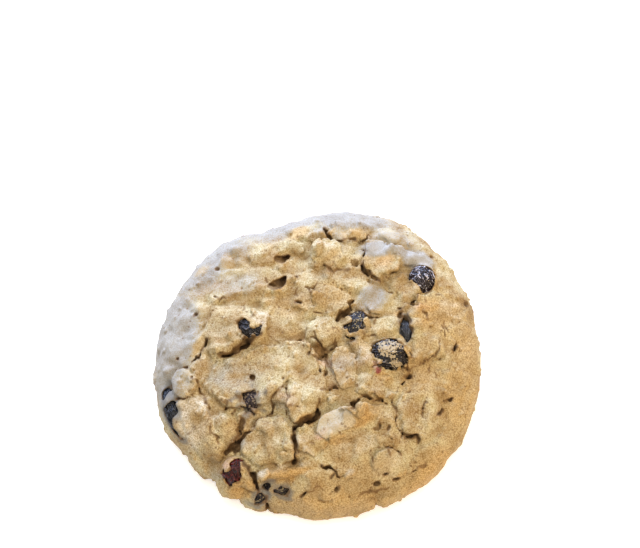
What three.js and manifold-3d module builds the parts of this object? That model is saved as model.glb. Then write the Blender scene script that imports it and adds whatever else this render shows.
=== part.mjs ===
// A thick, craggy oatmeal raisin cookie: one baked piece of dough with oat flakes fused into its relief,
// and ten raisins that each sit in their own pocket. Millimetres, +Z up, resting on its flat underside,
// with the origin at the middle of that underside.
import * as THREE from "three";
import { mergeVertices } from "three/addons/utils/BufferGeometryUtils.js";
import Module from "manifold-3d";

const wasm = await Module();
wasm.setup();

// Driving dimensions.
const cookie = {
  radius: 39.3, // mean radius of the widest section
  thickness: 16.7, // height of the bare dome, before lumps
  widest: 4.0, // height of the widest section
  underDepth: 10.0, // half-height of the curve that the flat underside cuts
  domePower: 2.6, // how flat the top is
  edgePower: 2.3, // how square the shoulder is
};
// Where the dome's own middle sits, so that the origin is under the middle of the whole cookie. Every place
// below is measured from the dome's middle.
const middle = new THREE.Vector3(0.75, -0.55, 0);
// The outline's slow waves: how many lobes, how far they swell, and the direction of one of them.
const outlineLobes = [
  { count: 2, swell: 1.3, degrees: 27 },
  { count: 3, swell: 0.7, degrees: 60 },
  { count: 4, swell: 0.45, degrees: 52 },
  { count: 6, swell: 0.42, degrees: 20 },
  { count: 10, swell: 0.26, degrees: 23 },
];
const meshDetail = 14; // the dough's starting sphere has 20 (detail + 1)^2 triangles
const gap = 0.3; // clearance between a raisin and its pocket

// Boulders of dough that stand out of the dome: place, half length and width, turn and rise. A place is
// x and y seen from above, or on the side wall a direction in degrees and a height.
const bigLumps = [
  { x: -33.8, y: 6.0, long: 12.5, wide: 5.5, turn: 80, rise: 0.6 },
  { x: -18.2, y: 16.7, long: 11.3, wide: 4.6, turn: 2, rise: 1.0 },
  { x: -11.1, y: 25.3, long: 7.5, wide: 3.2, turn: 18, rise: 1.4 },
  { x: -20.7, y: 4.5, long: 8.5, wide: 6.2, turn: 5, rise: 2.1 },
  { x: -31.9, y: -8.9, long: 3.8, wide: 3.2, turn: 132, rise: 2.0 },
  { x: -16.8, y: -8.4, long: 10.5, wide: 7.6, turn: 12, rise: 1.5 },
  { x: -28.6, y: -19.2, long: 9.0, wide: 4.2, turn: 121, rise: 2.4 },
  { x: -21.6, y: -19.9, long: 5.2, wide: 3.4, turn: 102, rise: 2.6 },
  { x: -11.6, y: -24.7, long: 7.0, wide: 5.8, turn: 64, rise: 2.9 },
  { x: -3.4, y: -11.5, long: 7.3, wide: 4.4, turn: 75, rise: 2.9 },
  { x: 1.4, y: 3.3, long: 4.7, wide: 4.4, turn: 178, rise: 2.3 },
  { x: 0.2, y: 11.5, long: 8.5, wide: 4.1, turn: 1, rise: 1.5 },
  { x: 6.7, y: 17.9, long: 5.8, wide: 3.6, turn: 167, rise: 1.7 },
  { x: 12.8, y: 12.9, long: 5.2, wide: 4.4, turn: 41, rise: 1.5 },
  { x: 15.7, y: 23.4, long: 6.0, wide: 5.3, turn: 4, rise: 2.8 },
  { x: 2.0, y: 23.3, long: 4.4, wide: 3.8, turn: 141, rise: 2.4 },
  { x: 8.4, y: 32.4, long: 6.2, wide: 4.4, turn: 170, rise: 1.7 },
  { x: -2.7, y: 31.7, long: 5.2, wide: 4.6, turn: 33, rise: 1.3 },
  { x: 21.5, y: 29.7, long: 8.2, wide: 4.1, turn: 158, rise: 1.3 },
  { x: 20.1, y: 15.2, long: 4.8, wide: 3.2, turn: 105, rise: 1.4 },
  { x: 27.7, y: 4.9, long: 9.6, wide: 5.7, turn: 82, rise: 2.1 },
  { x: 14.7, y: -10.0, long: 6.1, wide: 3.9, turn: 8, rise: 1.9 },
  { x: 9.5, y: -18.9, long: 8.7, wide: 3.1, turn: 31, rise: 2.6 },
  { x: 5.7, y: -27.1, long: 8.5, wide: 4.1, turn: 1, rise: 1.0 },
  { x: 16.4, y: -21.8, long: 5.7, wide: 4.0, turn: 158, rise: 1.1 },
  { x: 23.8, y: -15.0, long: 6.4, wide: 5.7, turn: 81, rise: 1.7 },
  { x: 28.6, y: -6.4, long: 6.1, wide: 3.5, turn: 12, rise: 1.0 },
  { side: 239.5, height: 8.2, long: 4.2, wide: 3.8, turn: 15, rise: 1.8 },
];
// Smaller lumps by rule, packed over the top and side on a sunflower spiral.
const smallLumps = { count: 56, seed: 23, shortest: 2.8, longest: 5.6, lowest: 0.2, highest: 1.0 };
const waves = { count: 14, seed: 7, shortest: 7.0, longest: 19.0, height: 0.13 };

// Oat flakes that show, by place, half length and width, turn, and how far they tip and stand out.
const bigFlakes = [
  { x: 4.4, y: -17.6, long: 5.4, wide: 3.2, turn: 28, tip: -10, lift: 1.7 },
  { x: 5.7, y: -6.2, long: 5.0, wide: 4.0, turn: 110, tip: 12, lift: 0.9 },
  { x: -3.6, y: -2.8, long: 3.9, wide: 3.2, turn: 20, tip: -14, lift: 1.0 },
  { x: -4.4, y: -15.0, long: 4.8, wide: 3.0, turn: 75, tip: 10, lift: 1.8 },
  { x: 15.8, y: -27.6, long: 4.3, wide: 4.0, turn: 10, tip: 4, lift: 0.5 },
  { x: 23.0, y: -15.2, long: 5.4, wide: 5.0, turn: 40, tip: 3, lift: 1.2 },
  { x: 0.8, y: -31.6, long: 4.6, wide: 3.8, turn: 150, tip: 6, lift: 0.5 },
  { x: -8.0, y: -30.3, long: 5.4, wide: 2.2, turn: 13, tip: 62, lift: 0.8 },
  { x: 2.4, y: 23.8, long: 4.0, wide: 3.0, turn: 30, tip: 14, lift: 1.7 },
  { x: 15.8, y: 22.0, long: 4.4, wide: 3.4, turn: 70, tip: -8, lift: 2.2 },
  { x: -23.4, y: 21.8, long: 3.6, wide: 2.2, turn: 15, tip: 16, lift: 0.7 },
  { x: -4.6, y: 30.6, long: 4.0, wide: 2.8, turn: 60, tip: 12, lift: 0.8 },
  { x: -29.0, y: 0.6, long: 5.2, wide: 2.2, turn: 62, tip: 66, lift: 0.4 },
  { x: -33.0, y: -8.0, long: 3.4, wide: 3.0, turn: 20, tip: 10, lift: 1.0 },
  { x: -2.6, y: -23.6, long: 3.4, wide: 2.2, turn: 130, tip: 30, lift: 0.8 },
  { x: 7.8, y: 29.4, long: 4.6, wide: 3.0, turn: 15, tip: -16, lift: 1.0 },
];
const smallFlakes = { count: 20, seed: 91, shortest: 2.9, longest: 4.6, steepest: 24, lift: 0.35 };
const flake = { thickness: 0.9, sides: 9, crown: 0.45, squareness: 2.4 };

// Open cracks: where each starts, which way it runs, how long, how much it bends, and its width and depth.
const cracks = [
  { x: -13.2, y: 2.2, heading: 203, length: 12.0, bend: -22, width: 1.5, depth: 2.4 },
  { x: 0.4, y: -13.6, heading: 262, length: 9.0, bend: -74, width: 2.0, depth: 3.0 },
  { x: 7.6, y: -12.6, heading: 344, length: 9.5, bend: -12, width: 1.1, depth: 2.2 },
  { x: 1.9, y: -6.4, heading: 284, length: 6.0, bend: 62, width: 1.0, depth: 1.8 },
  { x: 17.9, y: -10.6, heading: 262, length: 12.5, bend: 76, width: 0.9, depth: 1.8 },
  { x: 10.6, y: 25.2, heading: 266, length: 9.0, bend: 70, width: 1.2, depth: 2.2 },
  { x: 8.1, y: 13.0, heading: 258, length: 7.4, bend: -42, width: 1.5, depth: 2.4 },
  { x: 26.6, y: 13.9, heading: 196, length: 8.0, bend: 20, width: 1.1, depth: 2.0 },
  { x: 20.2, y: 10.4, heading: 276, length: 10.0, bend: 16, width: 1.5, depth: 2.6 },
  { x: -9.2, y: -13.2, heading: 224, length: 15.0, bend: 14, width: 1.2, depth: 2.2 },
  { x: -7.4, y: -18.0, heading: 288, length: 10.6, bend: 12, width: 1.4, depth: 2.6 },
  { x: -29.6, y: -6.8, heading: 296, length: 14.0, bend: -14, width: 1.1, depth: 2.0 },
  { x: -16.6, y: -29.4, heading: 318, length: 7.0, bend: -30, width: 1.3, depth: 2.2 },
  { x: 21.9, y: -4.6, heading: 262, length: 5.2, bend: -24, width: 1.1, depth: 2.4 },
];
// Air holes and lost crumbs: place, half length and width, turn and depth.
const pits = [
  { x: -9.4, y: 23.4, long: 2.0, wide: 1.2, turn: 15, depth: 1.8 },
  { x: -10.0, y: 17.2, long: 2.7, wide: 1.5, turn: 30, depth: 1.9 },
  { x: -4.6, y: 11.7, long: 0.9, wide: 0.7, turn: 160, depth: 1.3 },
  { x: -14.8, y: -8.0, long: 1.1, wide: 0.8, turn: 100, depth: 1.3 },
  { x: 22.2, y: -21.4, long: 1.7, wide: 0.7, turn: 12, depth: 1.6 },
  { x: 3.9, y: 29.6, long: 2.2, wide: 0.7, turn: 112, depth: 1.4 },
  { x: 8.6, y: -14.3, long: 1.1, wide: 0.8, turn: 10, depth: 1.8 },
  { x: 31.8, y: -12.8, long: 1.4, wide: 0.6, turn: 35, depth: 1.2 },
  { x: -5.0, y: -27.6, long: 1.4, wide: 1.1, turn: 60, depth: 1.8 },
  { x: 18.6, y: -32.0, long: 1.5, wide: 0.8, turn: 30, depth: 1.2 },
];
// Each raisin: place, the height of its middle above or below the bare dome, its half sizes along, across
// and through, its turn about the surface's normal, and the number of its main wrinkles.
const raisins = [
  { name: "raisin_right_rim", x: 25.0, y: 17.6, sink: 0.2, half: [3.7, 3.3, 2.7], turn: 78, folds: 7 },
  { name: "raisin_middle", x: 8.7, y: 4.7, sink: -0.7, half: [3.9, 3.0, 2.6], turn: 62, folds: 6 },
  { name: "raisin_crevice", x: 20.6, y: 4.2, sink: -1.5, half: [2.9, 1.8, 1.9], turn: 96, folds: 5 },
  { name: "raisin_crusted", x: 16.6, y: -2.2, sink: -0.3, half: [4.8, 3.7, 2.8], turn: 4, folds: 8 },
  { name: "raisin_left", x: -16.3, y: 4.0, sink: -0.2, half: [3.9, 2.8, 2.3], turn: 138, folds: 6 },
  { name: "raisin_low_left", x: -16.1, y: -13.2, sink: -0.5, half: [2.9, 2.0, 2.0], turn: 102, folds: 5 },
  { name: "raisin_edge", side: 203, height: 10.3, sink: -0.9, half: [6.2, 2.1, 2.2], turn: 110, folds: 7 },
  { name: "raisin_red", side: 236, height: 11.2, sink: 0.1, half: [3.3, 3.0, 2.3], turn: 70, folds: 5 },
  { name: "raisin_front", side: 252.6, height: 11.2, sink: -1.1, half: [3.2, 1.4, 1.8], turn: 162, folds: 5 },
  { name: "raisin_front_low", side: 247, height: 8.5, sink: -0.8, half: [1.9, 1.5, 1.6], turn: 30, folds: 5 },
];
// A raisin's main and side wrinkles, and the room that its pocket leaves for them, as shares of its girth.
const wrinkle = { main: 0.1, side: 0.05, room: 0.14 };
// Past a raisin's middle its pocket is this many times as deep as the raisin, so that it opens upwards.
const pocketOpening = 2.2;

const radians = THREE.MathUtils.degToRad;
const { clamp, lerp } = THREE.MathUtils;
const goldenAngle = Math.PI * (3 - Math.sqrt(5));

// A repeatable random number from 0 to 1.
function randomFrom(seed) {
  let state = seed;
  return () => {
    state = (state * 16807) % 2147483647;
    return state / 2147483647;
  };
}

function solidOf(geometry) {
  const bare = geometry.index ? geometry.toNonIndexed() : geometry.clone();
  bare.deleteAttribute("normal");
  bare.deleteAttribute("uv");
  const merged = mergeVertices(bare, 1e-4);
  const vertProperties = new Float32Array(merged.attributes.position.array);
  const triVerts = new Uint32Array(merged.index.array);
  return new wasm.Manifold(new wasm.Mesh({ numProp: 3, vertProperties, triVerts }));
}

function geometryOf(solid) {
  const mesh = solid.getMesh();
  const geometry = new THREE.BufferGeometry();
  geometry.setAttribute("position", new THREE.BufferAttribute(mesh.vertProperties, 3));
  geometry.setIndex(new THREE.BufferAttribute(mesh.triVerts, 1));
  geometry.computeVertexNormals();
  return geometry;
}

function bendVertices(geometry, move) {
  const position = geometry.attributes.position;
  const point = new THREE.Vector3();
  for (let i = 0; i < position.count; i++) {
    move(point.fromBufferAttribute(position, i));
    position.setXYZ(i, point.x, point.y, point.z);
  }
  return geometry;
}

// The outline of the widest section, before any lump.
function outlineRadius(angle) {
  let radius = cookie.radius;
  for (const { count, swell, degrees } of outlineLobes) {
    radius += swell * Math.cos(count * (angle - radians(degrees)));
  }
  return radius;
}

// A point of the bare dome: slope 0 is the top's middle, 90 the widest section, and beyond it the underside.
function domePoint(slope, angle) {
  const across = Math.abs(Math.sin(slope)) ** (2 / cookie.edgePower);
  const up = Math.abs(Math.cos(slope)) ** (2 / cookie.domePower);
  const rise = slope <= Math.PI / 2 ? cookie.thickness - cookie.widest : -cookie.underDepth;
  const radius = outlineRadius(angle) * across;
  return new THREE.Vector3(radius * Math.cos(angle), radius * Math.sin(angle), cookie.widest + rise * up);
}

// The outward direction there, from the gradient of the dome's implicit form.
function domeNormal(point) {
  const radius = Math.hypot(point.x, point.y);
  const limit = outlineRadius(Math.atan2(point.y, point.x));
  const height = point.z - cookie.widest;
  const reach = height >= 0 ? cookie.thickness - cookie.widest : cookie.underDepth;
  const across = (cookie.edgePower * (radius / limit) ** (cookie.edgePower - 1)) / limit;
  const up = (cookie.domePower * (Math.abs(height) / reach) ** (cookie.domePower - 1)) / reach;
  const unit = radius > 1e-9 ? across / radius : 0;
  return new THREE.Vector3(point.x * unit, point.y * unit, up * Math.sign(height)).normalize();
}

function domeAbove(x, y) {
  const angle = Math.atan2(y, x);
  const share = Math.min(1, Math.hypot(x, y) / outlineRadius(angle));
  return domePoint(Math.asin(share ** (cookie.edgePower / 2)), angle);
}

function domeSide(degrees, height) {
  const share = (height - cookie.widest) / (cookie.thickness - cookie.widest);
  return domePoint(Math.acos(share ** (cookie.domePower / 2)), radians(degrees));
}

function placeOf({ x, y, side, height }) {
  return side === undefined ? domeAbove(x, y) : domeSide(side, height);
}

// The slope at each share of the dome's area, so that triangles and lumps spread evenly over it. What lies
// well below the flat underside is cut away, so it counts for little.
const slopeByArea = (() => {
  const steps = 400;
  const areas = [0];
  let last = domePoint(0, 0);
  for (let i = 1; i <= steps; i++) {
    const next = domePoint((Math.PI * i) / steps, 0);
    const ring = Math.PI * (next.x + last.x) * Math.hypot(next.x - last.x, next.z - last.z);
    areas.push(areas[i - 1] + ring * (next.z < -1 ? 0.08 : 1));
    last = next;
  }
  return (share) => {
    const wanted = clamp(share, 0, 1) * areas[steps];
    let i = 1;
    while (i < steps && areas[i] < wanted) i++;
    return (Math.PI * (i - 1 + (wanted - areas[i - 1]) / (areas[i] - areas[i - 1]))) / steps;
  };
})();

// An upright frame on the surface: X along the turn, Z outwards.
function surfaceFrame(point, turn, lift = 0) {
  const out = domeNormal(point);
  const along = new THREE.Vector3(Math.cos(radians(turn)), Math.sin(radians(turn)), 0);
  if (Math.abs(out.z) < 0.5) {
    // on the side wall the turn is measured from level, going round anticlockwise
    const level = new THREE.Vector3(-out.y, out.x, 0).normalize();
    const upward = new THREE.Vector3().crossVectors(out, level);
    along.copy(level.multiplyScalar(Math.cos(radians(turn))));
    along.addScaledVector(upward, Math.sin(radians(turn)));
  }
  along.addScaledVector(out, -along.dot(out)).normalize();
  const across = new THREE.Vector3().crossVectors(out, along);
  const foot = point.clone().addScaledVector(out, lift);
  return new THREE.Matrix4().makeBasis(along, across, out).setPosition(foot);
}

function lumpsByRule() {
  const random = randomFrom(smallLumps.seed);
  const lumps = [];
  for (let i = 0; i < smallLumps.count; i++) {
    const slope = slopeByArea((0.9 * (i + random())) / smallLumps.count);
    const angle = i * goldenAngle + 0.4 * random();
    const long = lerp(smallLumps.shortest, smallLumps.longest, random());
    const wide = long * lerp(0.65, 0.95, random());
    const rise = lerp(smallLumps.lowest, smallLumps.highest, random());
    lumps.push({ point: domePoint(slope, angle), long, wide, turn: 360 * random(), rise });
  }
  return lumps;
}

const lumps = [...bigLumps.map((lump) => ({ ...lump, point: placeOf(lump) })), ...lumpsByRule()];
for (const lump of lumps) lump.inverse = surfaceFrame(lump.point, lump.turn).invert();

const swells = (() => {
  const random = randomFrom(waves.seed);
  return Array.from({ length: waves.count }, () => {
    const angle = 2 * Math.PI * random();
    const tilt = Math.asin(lerp(-0.7, 0.7, random()));
    const rate = (2 * Math.PI) / lerp(waves.shortest, waves.longest, random());
    const phase = 2 * Math.PI * random();
    const direction = new THREE.Vector3(Math.cos(angle), Math.sin(angle), Math.tan(tilt)).setLength(rate);
    return { direction, phase };
  });
})();

// How far the dough stands out of the bare dome at a point of it. The largest lump there wins.
function relief(point) {
  let height = 0;
  for (const swell of swells) height += waves.height * Math.sin(swell.direction.dot(point) + swell.phase);
  const local = new THREE.Vector3();
  let lumpHeight = 0;
  for (const lump of lumps) {
    local.copy(point).applyMatrix4(lump.inverse);
    const out = (local.x / lump.long) ** 2 + (local.y / lump.wide) ** 2 + (local.z / 9) ** 2;
    if (out < 1) lumpHeight = Math.max(lumpHeight, lump.rise * (1 - out) ** 0.36);
  }
  return height + lumpHeight;
}

function onDough(x, y) {
  const point = domeAbove(x, y);
  return { point, height: relief(point) };
}

function doughBlank() {
  const sphere = new THREE.IcosahedronGeometry(1, meshDetail);
  bendVertices(sphere, (point) => {
    const angle = Math.atan2(point.y, point.x);
    const slope = slopeByArea((1 - clamp(point.z, -1, 1)) / 2);
    point.copy(domePoint(slope, angle));
    point.addScaledVector(domeNormal(point), relief(point));
  });
  return solidOf(sphere);
}

function flakeSolid({ long, wide, tip, roll = 0 }, frame) {
  const disc = new THREE.CylinderGeometry(1, 0.82, flake.thickness, flake.sides).rotateX(Math.PI / 2);
  bendVertices(disc, (point) => {
    const angle = Math.atan2(point.y, point.x);
    const radius = Math.hypot(point.x, point.y);
    const [cosine, sine] = [Math.abs(Math.cos(angle)), Math.abs(Math.sin(angle))];
    const square = (cosine ** flake.squareness + sine ** flake.squareness) ** (-1 / flake.squareness);
    point.x *= long * square;
    point.y *= wide * square;
    if (radius < 0.1 && point.z > 0) point.z += flake.crown;
  });
  disc.rotateX(radians(tip)).rotateY(radians(roll)).applyMatrix4(frame);
  return solidOf(disc);
}

function allFlakes() {
  const solids = [];
  for (const one of bigFlakes) solids.push(flakeSolid(one, surfaceFrame(placeOf(one), one.turn, one.lift)));
  const random = randomFrom(smallFlakes.seed);
  for (let i = 0; i < smallFlakes.count; i++) {
    const slope = slopeByArea((0.68 * (i + 0.2 + 0.6 * random())) / smallFlakes.count);
    const point = domePoint(slope, i * goldenAngle + 1.1 + 0.5 * random());
    const long = lerp(smallFlakes.shortest, smallFlakes.longest, random());
    const wide = long * lerp(0.62, 0.85, random());
    const steepest = smallFlakes.steepest * domeNormal(point).z;
    const tip = steepest * (2 * random() - 1);
    const roll = 0.5 * steepest * (2 * random() - 1);
    const frame = surfaceFrame(point, 360 * random(), relief(point) + smallFlakes.lift * (2 * random() - 1));
    solids.push(flakeSolid({ long, wide, tip, roll }, frame));
  }
  return solids;
}

// A V-shaped trench along an arc on the surface, closed at both ends.
function crackSolid({ x, y, heading, length, bend, width, depth }) {
  const steps = 4;
  const corners = [];
  let [px, py] = [x, y];
  for (let i = 0; i <= steps; i++) {
    const course = radians(heading + (bend * i) / steps);
    const { point, height } = onDough(px, py);
    const out = domeNormal(point);
    const side = new THREE.Vector3(-Math.sin(course), Math.cos(course), 0).multiplyScalar(0.5);
    const open = 0.25 + 0.75 * Math.sin((Math.PI * (i + 0.5)) / (steps + 1));
    const mouth = point.clone().addScaledVector(out, height + 1.2);
    corners.push(mouth.clone().addScaledVector(side, width * 1.5 * open));
    corners.push(mouth.clone().addScaledVector(side, -width * 1.5 * open));
    corners.push(point.clone().addScaledVector(out, height - depth * open));
    px += (length / steps) * Math.cos(course);
    py += (length / steps) * Math.sin(course);
  }
  const faces = [0, 2, 1];
  for (let i = 0; i < steps; i++) {
    const [a, b, c, d, e, f] = [0, 1, 2, 3, 4, 5].map((k) => 3 * i + k);
    faces.push(a, b, d, b, e, d, b, c, e, c, f, e, c, a, f, a, d, f);
  }
  const end = 3 * steps;
  faces.push(end, end + 1, end + 2);
  const geometry = new THREE.BufferGeometry().setFromPoints(corners);
  geometry.setIndex(faces);
  return solidOf(geometry);
}

function pitSolid({ x, y, long, wide, turn, depth }) {
  const { point, height } = onDough(x, y);
  const ball = new THREE.SphereGeometry(1, 7, 5).rotateX(Math.PI / 2).scale(long, wide, depth);
  return solidOf(ball.applyMatrix4(surfaceFrame(point, turn, height)));
}

// A raisin: a flattened ball whose skin has fallen into lengthwise folds.
function raisinGeometry({ half, folds }, grow) {
  const ball = new THREE.SphereGeometry(1, 12, 8).rotateZ(Math.PI / 2);
  return bendVertices(ball, (point) => {
    const around = Math.atan2(point.z, point.y);
    const girth = Math.hypot(point.y, point.z);
    const mainFold = wrinkle.main * Math.cos(folds * around + 2.2 * point.x);
    const sideFold = wrinkle.side * Math.cos(2 * folds * around - 5 * point.x);
    const swell = grow ? 1 + wrinkle.room * girth : 1 + (mainFold + sideFold) * girth;
    point.set(point.x * half[0], point.y * half[1] * swell, point.z * half[2] * swell);
    if (grow) point.addScaledVector(point.clone().normalize(), gap);
    if (grow && point.z > 0) point.z *= pocketOpening;
  });
}

function raisinFrame(raisin) {
  return surfaceFrame(placeOf(raisin), raisin.turn, raisin.sink);
}

const doughMaterial = new THREE.MeshStandardMaterial({ color: 0xc4a270, roughness: 0.85, metalness: 0 });
const raisinMaterial = new THREE.MeshStandardMaterial({ color: 0x2c1f28, roughness: 0.35, metalness: 0 });

function buildDough() {
  let dough = doughBlank();
  for (const solid of allFlakes()) dough = dough.add(solid);
  dough = dough.subtract(solidOf(new THREE.BoxGeometry(120, 120, 40).translate(0, 0, -20)));
  for (const crack of cracks) dough = dough.subtract(crackSolid(crack));
  for (const pit of pits) dough = dough.subtract(pitSolid(pit));
  for (const raisin of raisins) {
    const pocket = raisinGeometry(raisin, true).applyMatrix4(raisinFrame(raisin));
    dough = dough.subtract(solidOf(pocket));
  }
  const pieces = dough.decompose().sort((a, b) => b.volume() - a.volume());
  return new THREE.Mesh(geometryOf(pieces[0]), doughMaterial);
}

const cookieGroup = new THREE.Group();
const doughMesh = buildDough();
doughMesh.name = "dough";
doughMesh.position.copy(middle);
cookieGroup.add(doughMesh);
for (const raisin of raisins) {
  const mesh = new THREE.Mesh(raisinGeometry(raisin, false), raisinMaterial);
  mesh.name = raisin.name;
  mesh.applyMatrix4(raisinFrame(raisin));
  mesh.position.add(middle);
  cookieGroup.add(mesh);
}

export default cookieGroup;
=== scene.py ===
import math
import bpy
import numpy as np
import openvdb
from mathutils import Matrix, Vector, noise


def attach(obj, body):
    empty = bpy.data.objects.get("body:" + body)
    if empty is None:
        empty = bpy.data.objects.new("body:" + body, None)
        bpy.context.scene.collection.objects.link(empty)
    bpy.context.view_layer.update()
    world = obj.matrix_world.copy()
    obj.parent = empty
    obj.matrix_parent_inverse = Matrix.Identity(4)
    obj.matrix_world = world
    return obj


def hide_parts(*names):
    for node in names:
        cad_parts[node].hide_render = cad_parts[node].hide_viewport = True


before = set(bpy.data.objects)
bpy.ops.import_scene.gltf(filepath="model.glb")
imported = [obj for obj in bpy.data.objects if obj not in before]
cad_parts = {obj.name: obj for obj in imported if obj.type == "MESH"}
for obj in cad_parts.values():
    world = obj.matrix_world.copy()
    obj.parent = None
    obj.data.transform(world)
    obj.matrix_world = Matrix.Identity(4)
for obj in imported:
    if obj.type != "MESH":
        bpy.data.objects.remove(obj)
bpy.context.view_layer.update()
mm = 0.001
print("frame loaded:", len(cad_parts), "nodes")


def direction(degrees):
    return math.cos(math.radians(degrees)), math.sin(math.radians(degrees))


def rows(text):
    # rows of numbers, with a space between numbers and a comma between rows
    return [[float(word) for word in row.split()] for row in text.split(",")]


# The bare dome: the same numbers as the solid part, in millimetres.
dome = {
    "middle": (0.75, -0.55, 0.0),  # where the dome's own middle sits in the part's frame
    "radius": 39.3,
    "thickness": 16.7,
    "widest": 4.0,
    "underDepth": 10.0,
    "domePower": 2.6,
    "edgePower": 2.3,
    # lobes of the outline: how many, how far each swells, and the direction of one of them in degrees
    "lobes": [(2, 1.3, 27), (3, 0.7, 60), (4, 0.45, 52), (6, 0.42, 20), (10, 0.26, 23)],
}
widest, edgePower, domePower = dome["widest"], dome["edgePower"], dome["domePower"]
crown = dome["thickness"] - widest


def outlineRadius(angle):
    radius = dome["radius"] + 0.0 * angle
    for count, swell, degrees in dome["lobes"]:
        radius = radius + swell * np.cos(count * (angle - math.radians(degrees)))
    return radius


def domeDistance(x, y, z):
    # distance from the dome's skin, below nought inside, from its implicit form and gradient
    limit = outlineRadius(np.arctan2(y, x))
    across = np.hypot(x, y) / limit
    height = z - widest
    reach = np.where(height >= 0, crown, dome["underDepth"])
    up = np.abs(height) / reach
    value = across ** edgePower + up ** domePower - 1
    slope = np.hypot(
        edgePower * across ** (edgePower - 1) / limit,
        domePower * up ** (domePower - 1) / reach,
    )
    return np.clip(value / np.maximum(slope, 0.03), -4, 4)


def domeSpot(x=0, y=0, side=None, height=0):
    # a place on the dome's skin and the outward direction there: x and y from above, or side and height
    if side is not None:
        share = (height - widest) / crown
        across = (1 - share ** domePower) ** (1 / edgePower)
        x, y = (outlineRadius(math.radians(side)) * across * part for part in direction(side))
        z = height
    else:
        across = min(1, math.hypot(x, y) / outlineRadius(math.atan2(y, x)))
        share = (1 - across ** edgePower) ** (1 / domePower)
        z = widest + crown * share
    radial = edgePower * across ** (edgePower - 1) / outlineRadius(math.atan2(y, x))
    rising = domePower * share ** (domePower - 1) / crown
    spoke = Vector((x, y, 0)).normalized()
    out = (spoke * radial + Vector((0, 0, rising))).normalized()
    return Vector((x, y, z)), out


def turnedAxes(out, degrees):
    # along, across and outward directions on the skin
    c, s = direction(degrees)
    if abs(out.z) < 0.5:
        level = Vector((-out.y, out.x, 0)).normalized()
        along = level * c + out.cross(level) * s
    else:
        along = Vector((c, s, 0))
    along = (along - out * along.dot(out)).normalized()
    return [along, out.cross(along), out]


# Dough: a distance field on a grid, shaped piece by piece and then turned into a mesh.
doughGrid = {"voxel": 0.27, "low": (-43.5, -43.5, -1.3), "high": (43.5, 43.5, 22.8)}
doughSkin = {
    "drift": [(8.0, 0.20), (3.2, 0.24), (1.3, 0.20)],  # how far outlines wander, by wave size, in mm
    "swell": [(15.0, 0.20), (6.5, 0.11)],  # slow unevenness of the dome, in mm
    "crumb": [(3.0, 0.04), (1.5, 0.04), (0.8, 0.035)],  # unevenness of every face, in mm
    # where the rim stands out more: direction and spread in degrees, and how far in mm
    "rimSwells": [(70, 15, 0.8), (128, 20, 1.0), (163, 10, 0.6), (184, 12, 1.1), (265, 8, 0.5)],
    "relief": 0.82,  # how high slabs stand, as a share of the rises below
    "crisp": 0.7,  # how soft their shoulders are, as a share of the values below
    "ragged": 0.2,  # how far their edges crumble, in mm
    "calmRim": 0.65,  # how much less they stand out at the rim
    "rim": (0.84, 0.99),  # where the rim starts and is full, as shares of the way out
    "swellRim": (0.6, 0.95),  # the same for what makes the rim stand out
    "jagged": [(1.3, 1.0), (0.7, 0.5)],  # crookedness of outlines: width of a bend in mm, and its share
    "speckle": 0.6,  # grain of outlines, in mm
    "seeds": {"drift": (11, 21, 31), "swell": 41, "crumb": 45, "jagged": 51, "speckle": 53},
    "faces": 190000,
}
grid = [
    np.arange(low, high, doughGrid["voxel"], dtype=np.float32)
    for low, high in zip(doughGrid["low"], doughGrid["high"])
]


def softNoise(wave, seed):
    # smooth random field over the whole grid, about nought with a spread of one
    counts = [int((axis[-1] - axis[0]) / wave) + 5 for axis in grid]
    values = np.random.default_rng(seed).standard_normal(counts).astype(np.float32)
    for axis, points in enumerate(grid):
        steps = (points - points[0]) / wave
        cell = np.floor(steps).astype(int)
        t = steps - cell
        curve = ((1 - t) ** 3, 3 * t ** 3 - 6 * t ** 2 + 4, -3 * t ** 3 + 3 * t ** 2 + 3 * t + 1, t ** 3)
        weights = np.zeros((len(points), counts[axis]), np.float32)
        for i, share in enumerate(curve):
            weights[np.arange(len(points)), cell + i] = share / 6
        values = np.moveaxis(np.tensordot(weights, values, axes=(1, axis)), 0, axis)
    return np.ascontiguousarray(values / values.std())


def layeredNoise(layers, seed):
    return sum(size * softNoise(wave, seed + i) for i, (wave, size) in enumerate(layers))


def easeStep(value, low, high):
    t = np.clip((value - low) / (high - low), 0, 1)
    return t * t * (3 - 2 * t)


heading = np.arctan2(grid[1], grid[0][:, None])
rimward = np.hypot(grid[0][:, None], grid[1]) / outlineRadius(heading)
atRim = easeStep(rimward, *doughSkin["rim"]).astype(np.float32)[..., None]
warped = [
    (1 - 0.5 * atRim) * layeredNoise(doughSkin["drift"], seed) + axis.reshape(np.roll((-1, 1, 1), i))
    for i, (seed, axis) in enumerate(zip(doughSkin["seeds"]["drift"], grid))
]
bare = domeDistance(*warped).astype(np.float32) - layeredNoise(doughSkin["swell"], doughSkin["seeds"]["swell"])
for towards, breadth, reach in doughSkin["rimSwells"]:
    off = (np.degrees(heading) - towards + 180) % 360 - 180
    rise = reach * np.exp(-((off / breadth) ** 2)) * easeStep(rimward, *doughSkin["swellRim"])
    bare -= rise.astype(np.float32)[..., None]
field = bare.copy()
jagged = layeredNoise(doughSkin["jagged"], doughSkin["seeds"]["jagged"])
speckle = softNoise(doughSkin["speckle"], doughSkin["seeds"]["speckle"])
marks = {name: np.zeros_like(field) for name in ("flake", "crack", "fruit")}
print("dome ready:", field.shape)


def mark(name, box, amount):
    marks[name][box] = np.maximum(marks[name][box], amount)


def gridSlice(axis, low, high):
    low = int((low - grid[axis][0]) / doughGrid["voxel"])
    high = int((high - grid[axis][0]) / doughGrid["voxel"]) + 2
    return slice(max(0, low), max(0, min(len(grid[axis]), high)))


def boxAround(point, reach):
    return tuple(gridSlice(i, point[i] - reach, point[i] + reach) for i in range(3))


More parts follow.
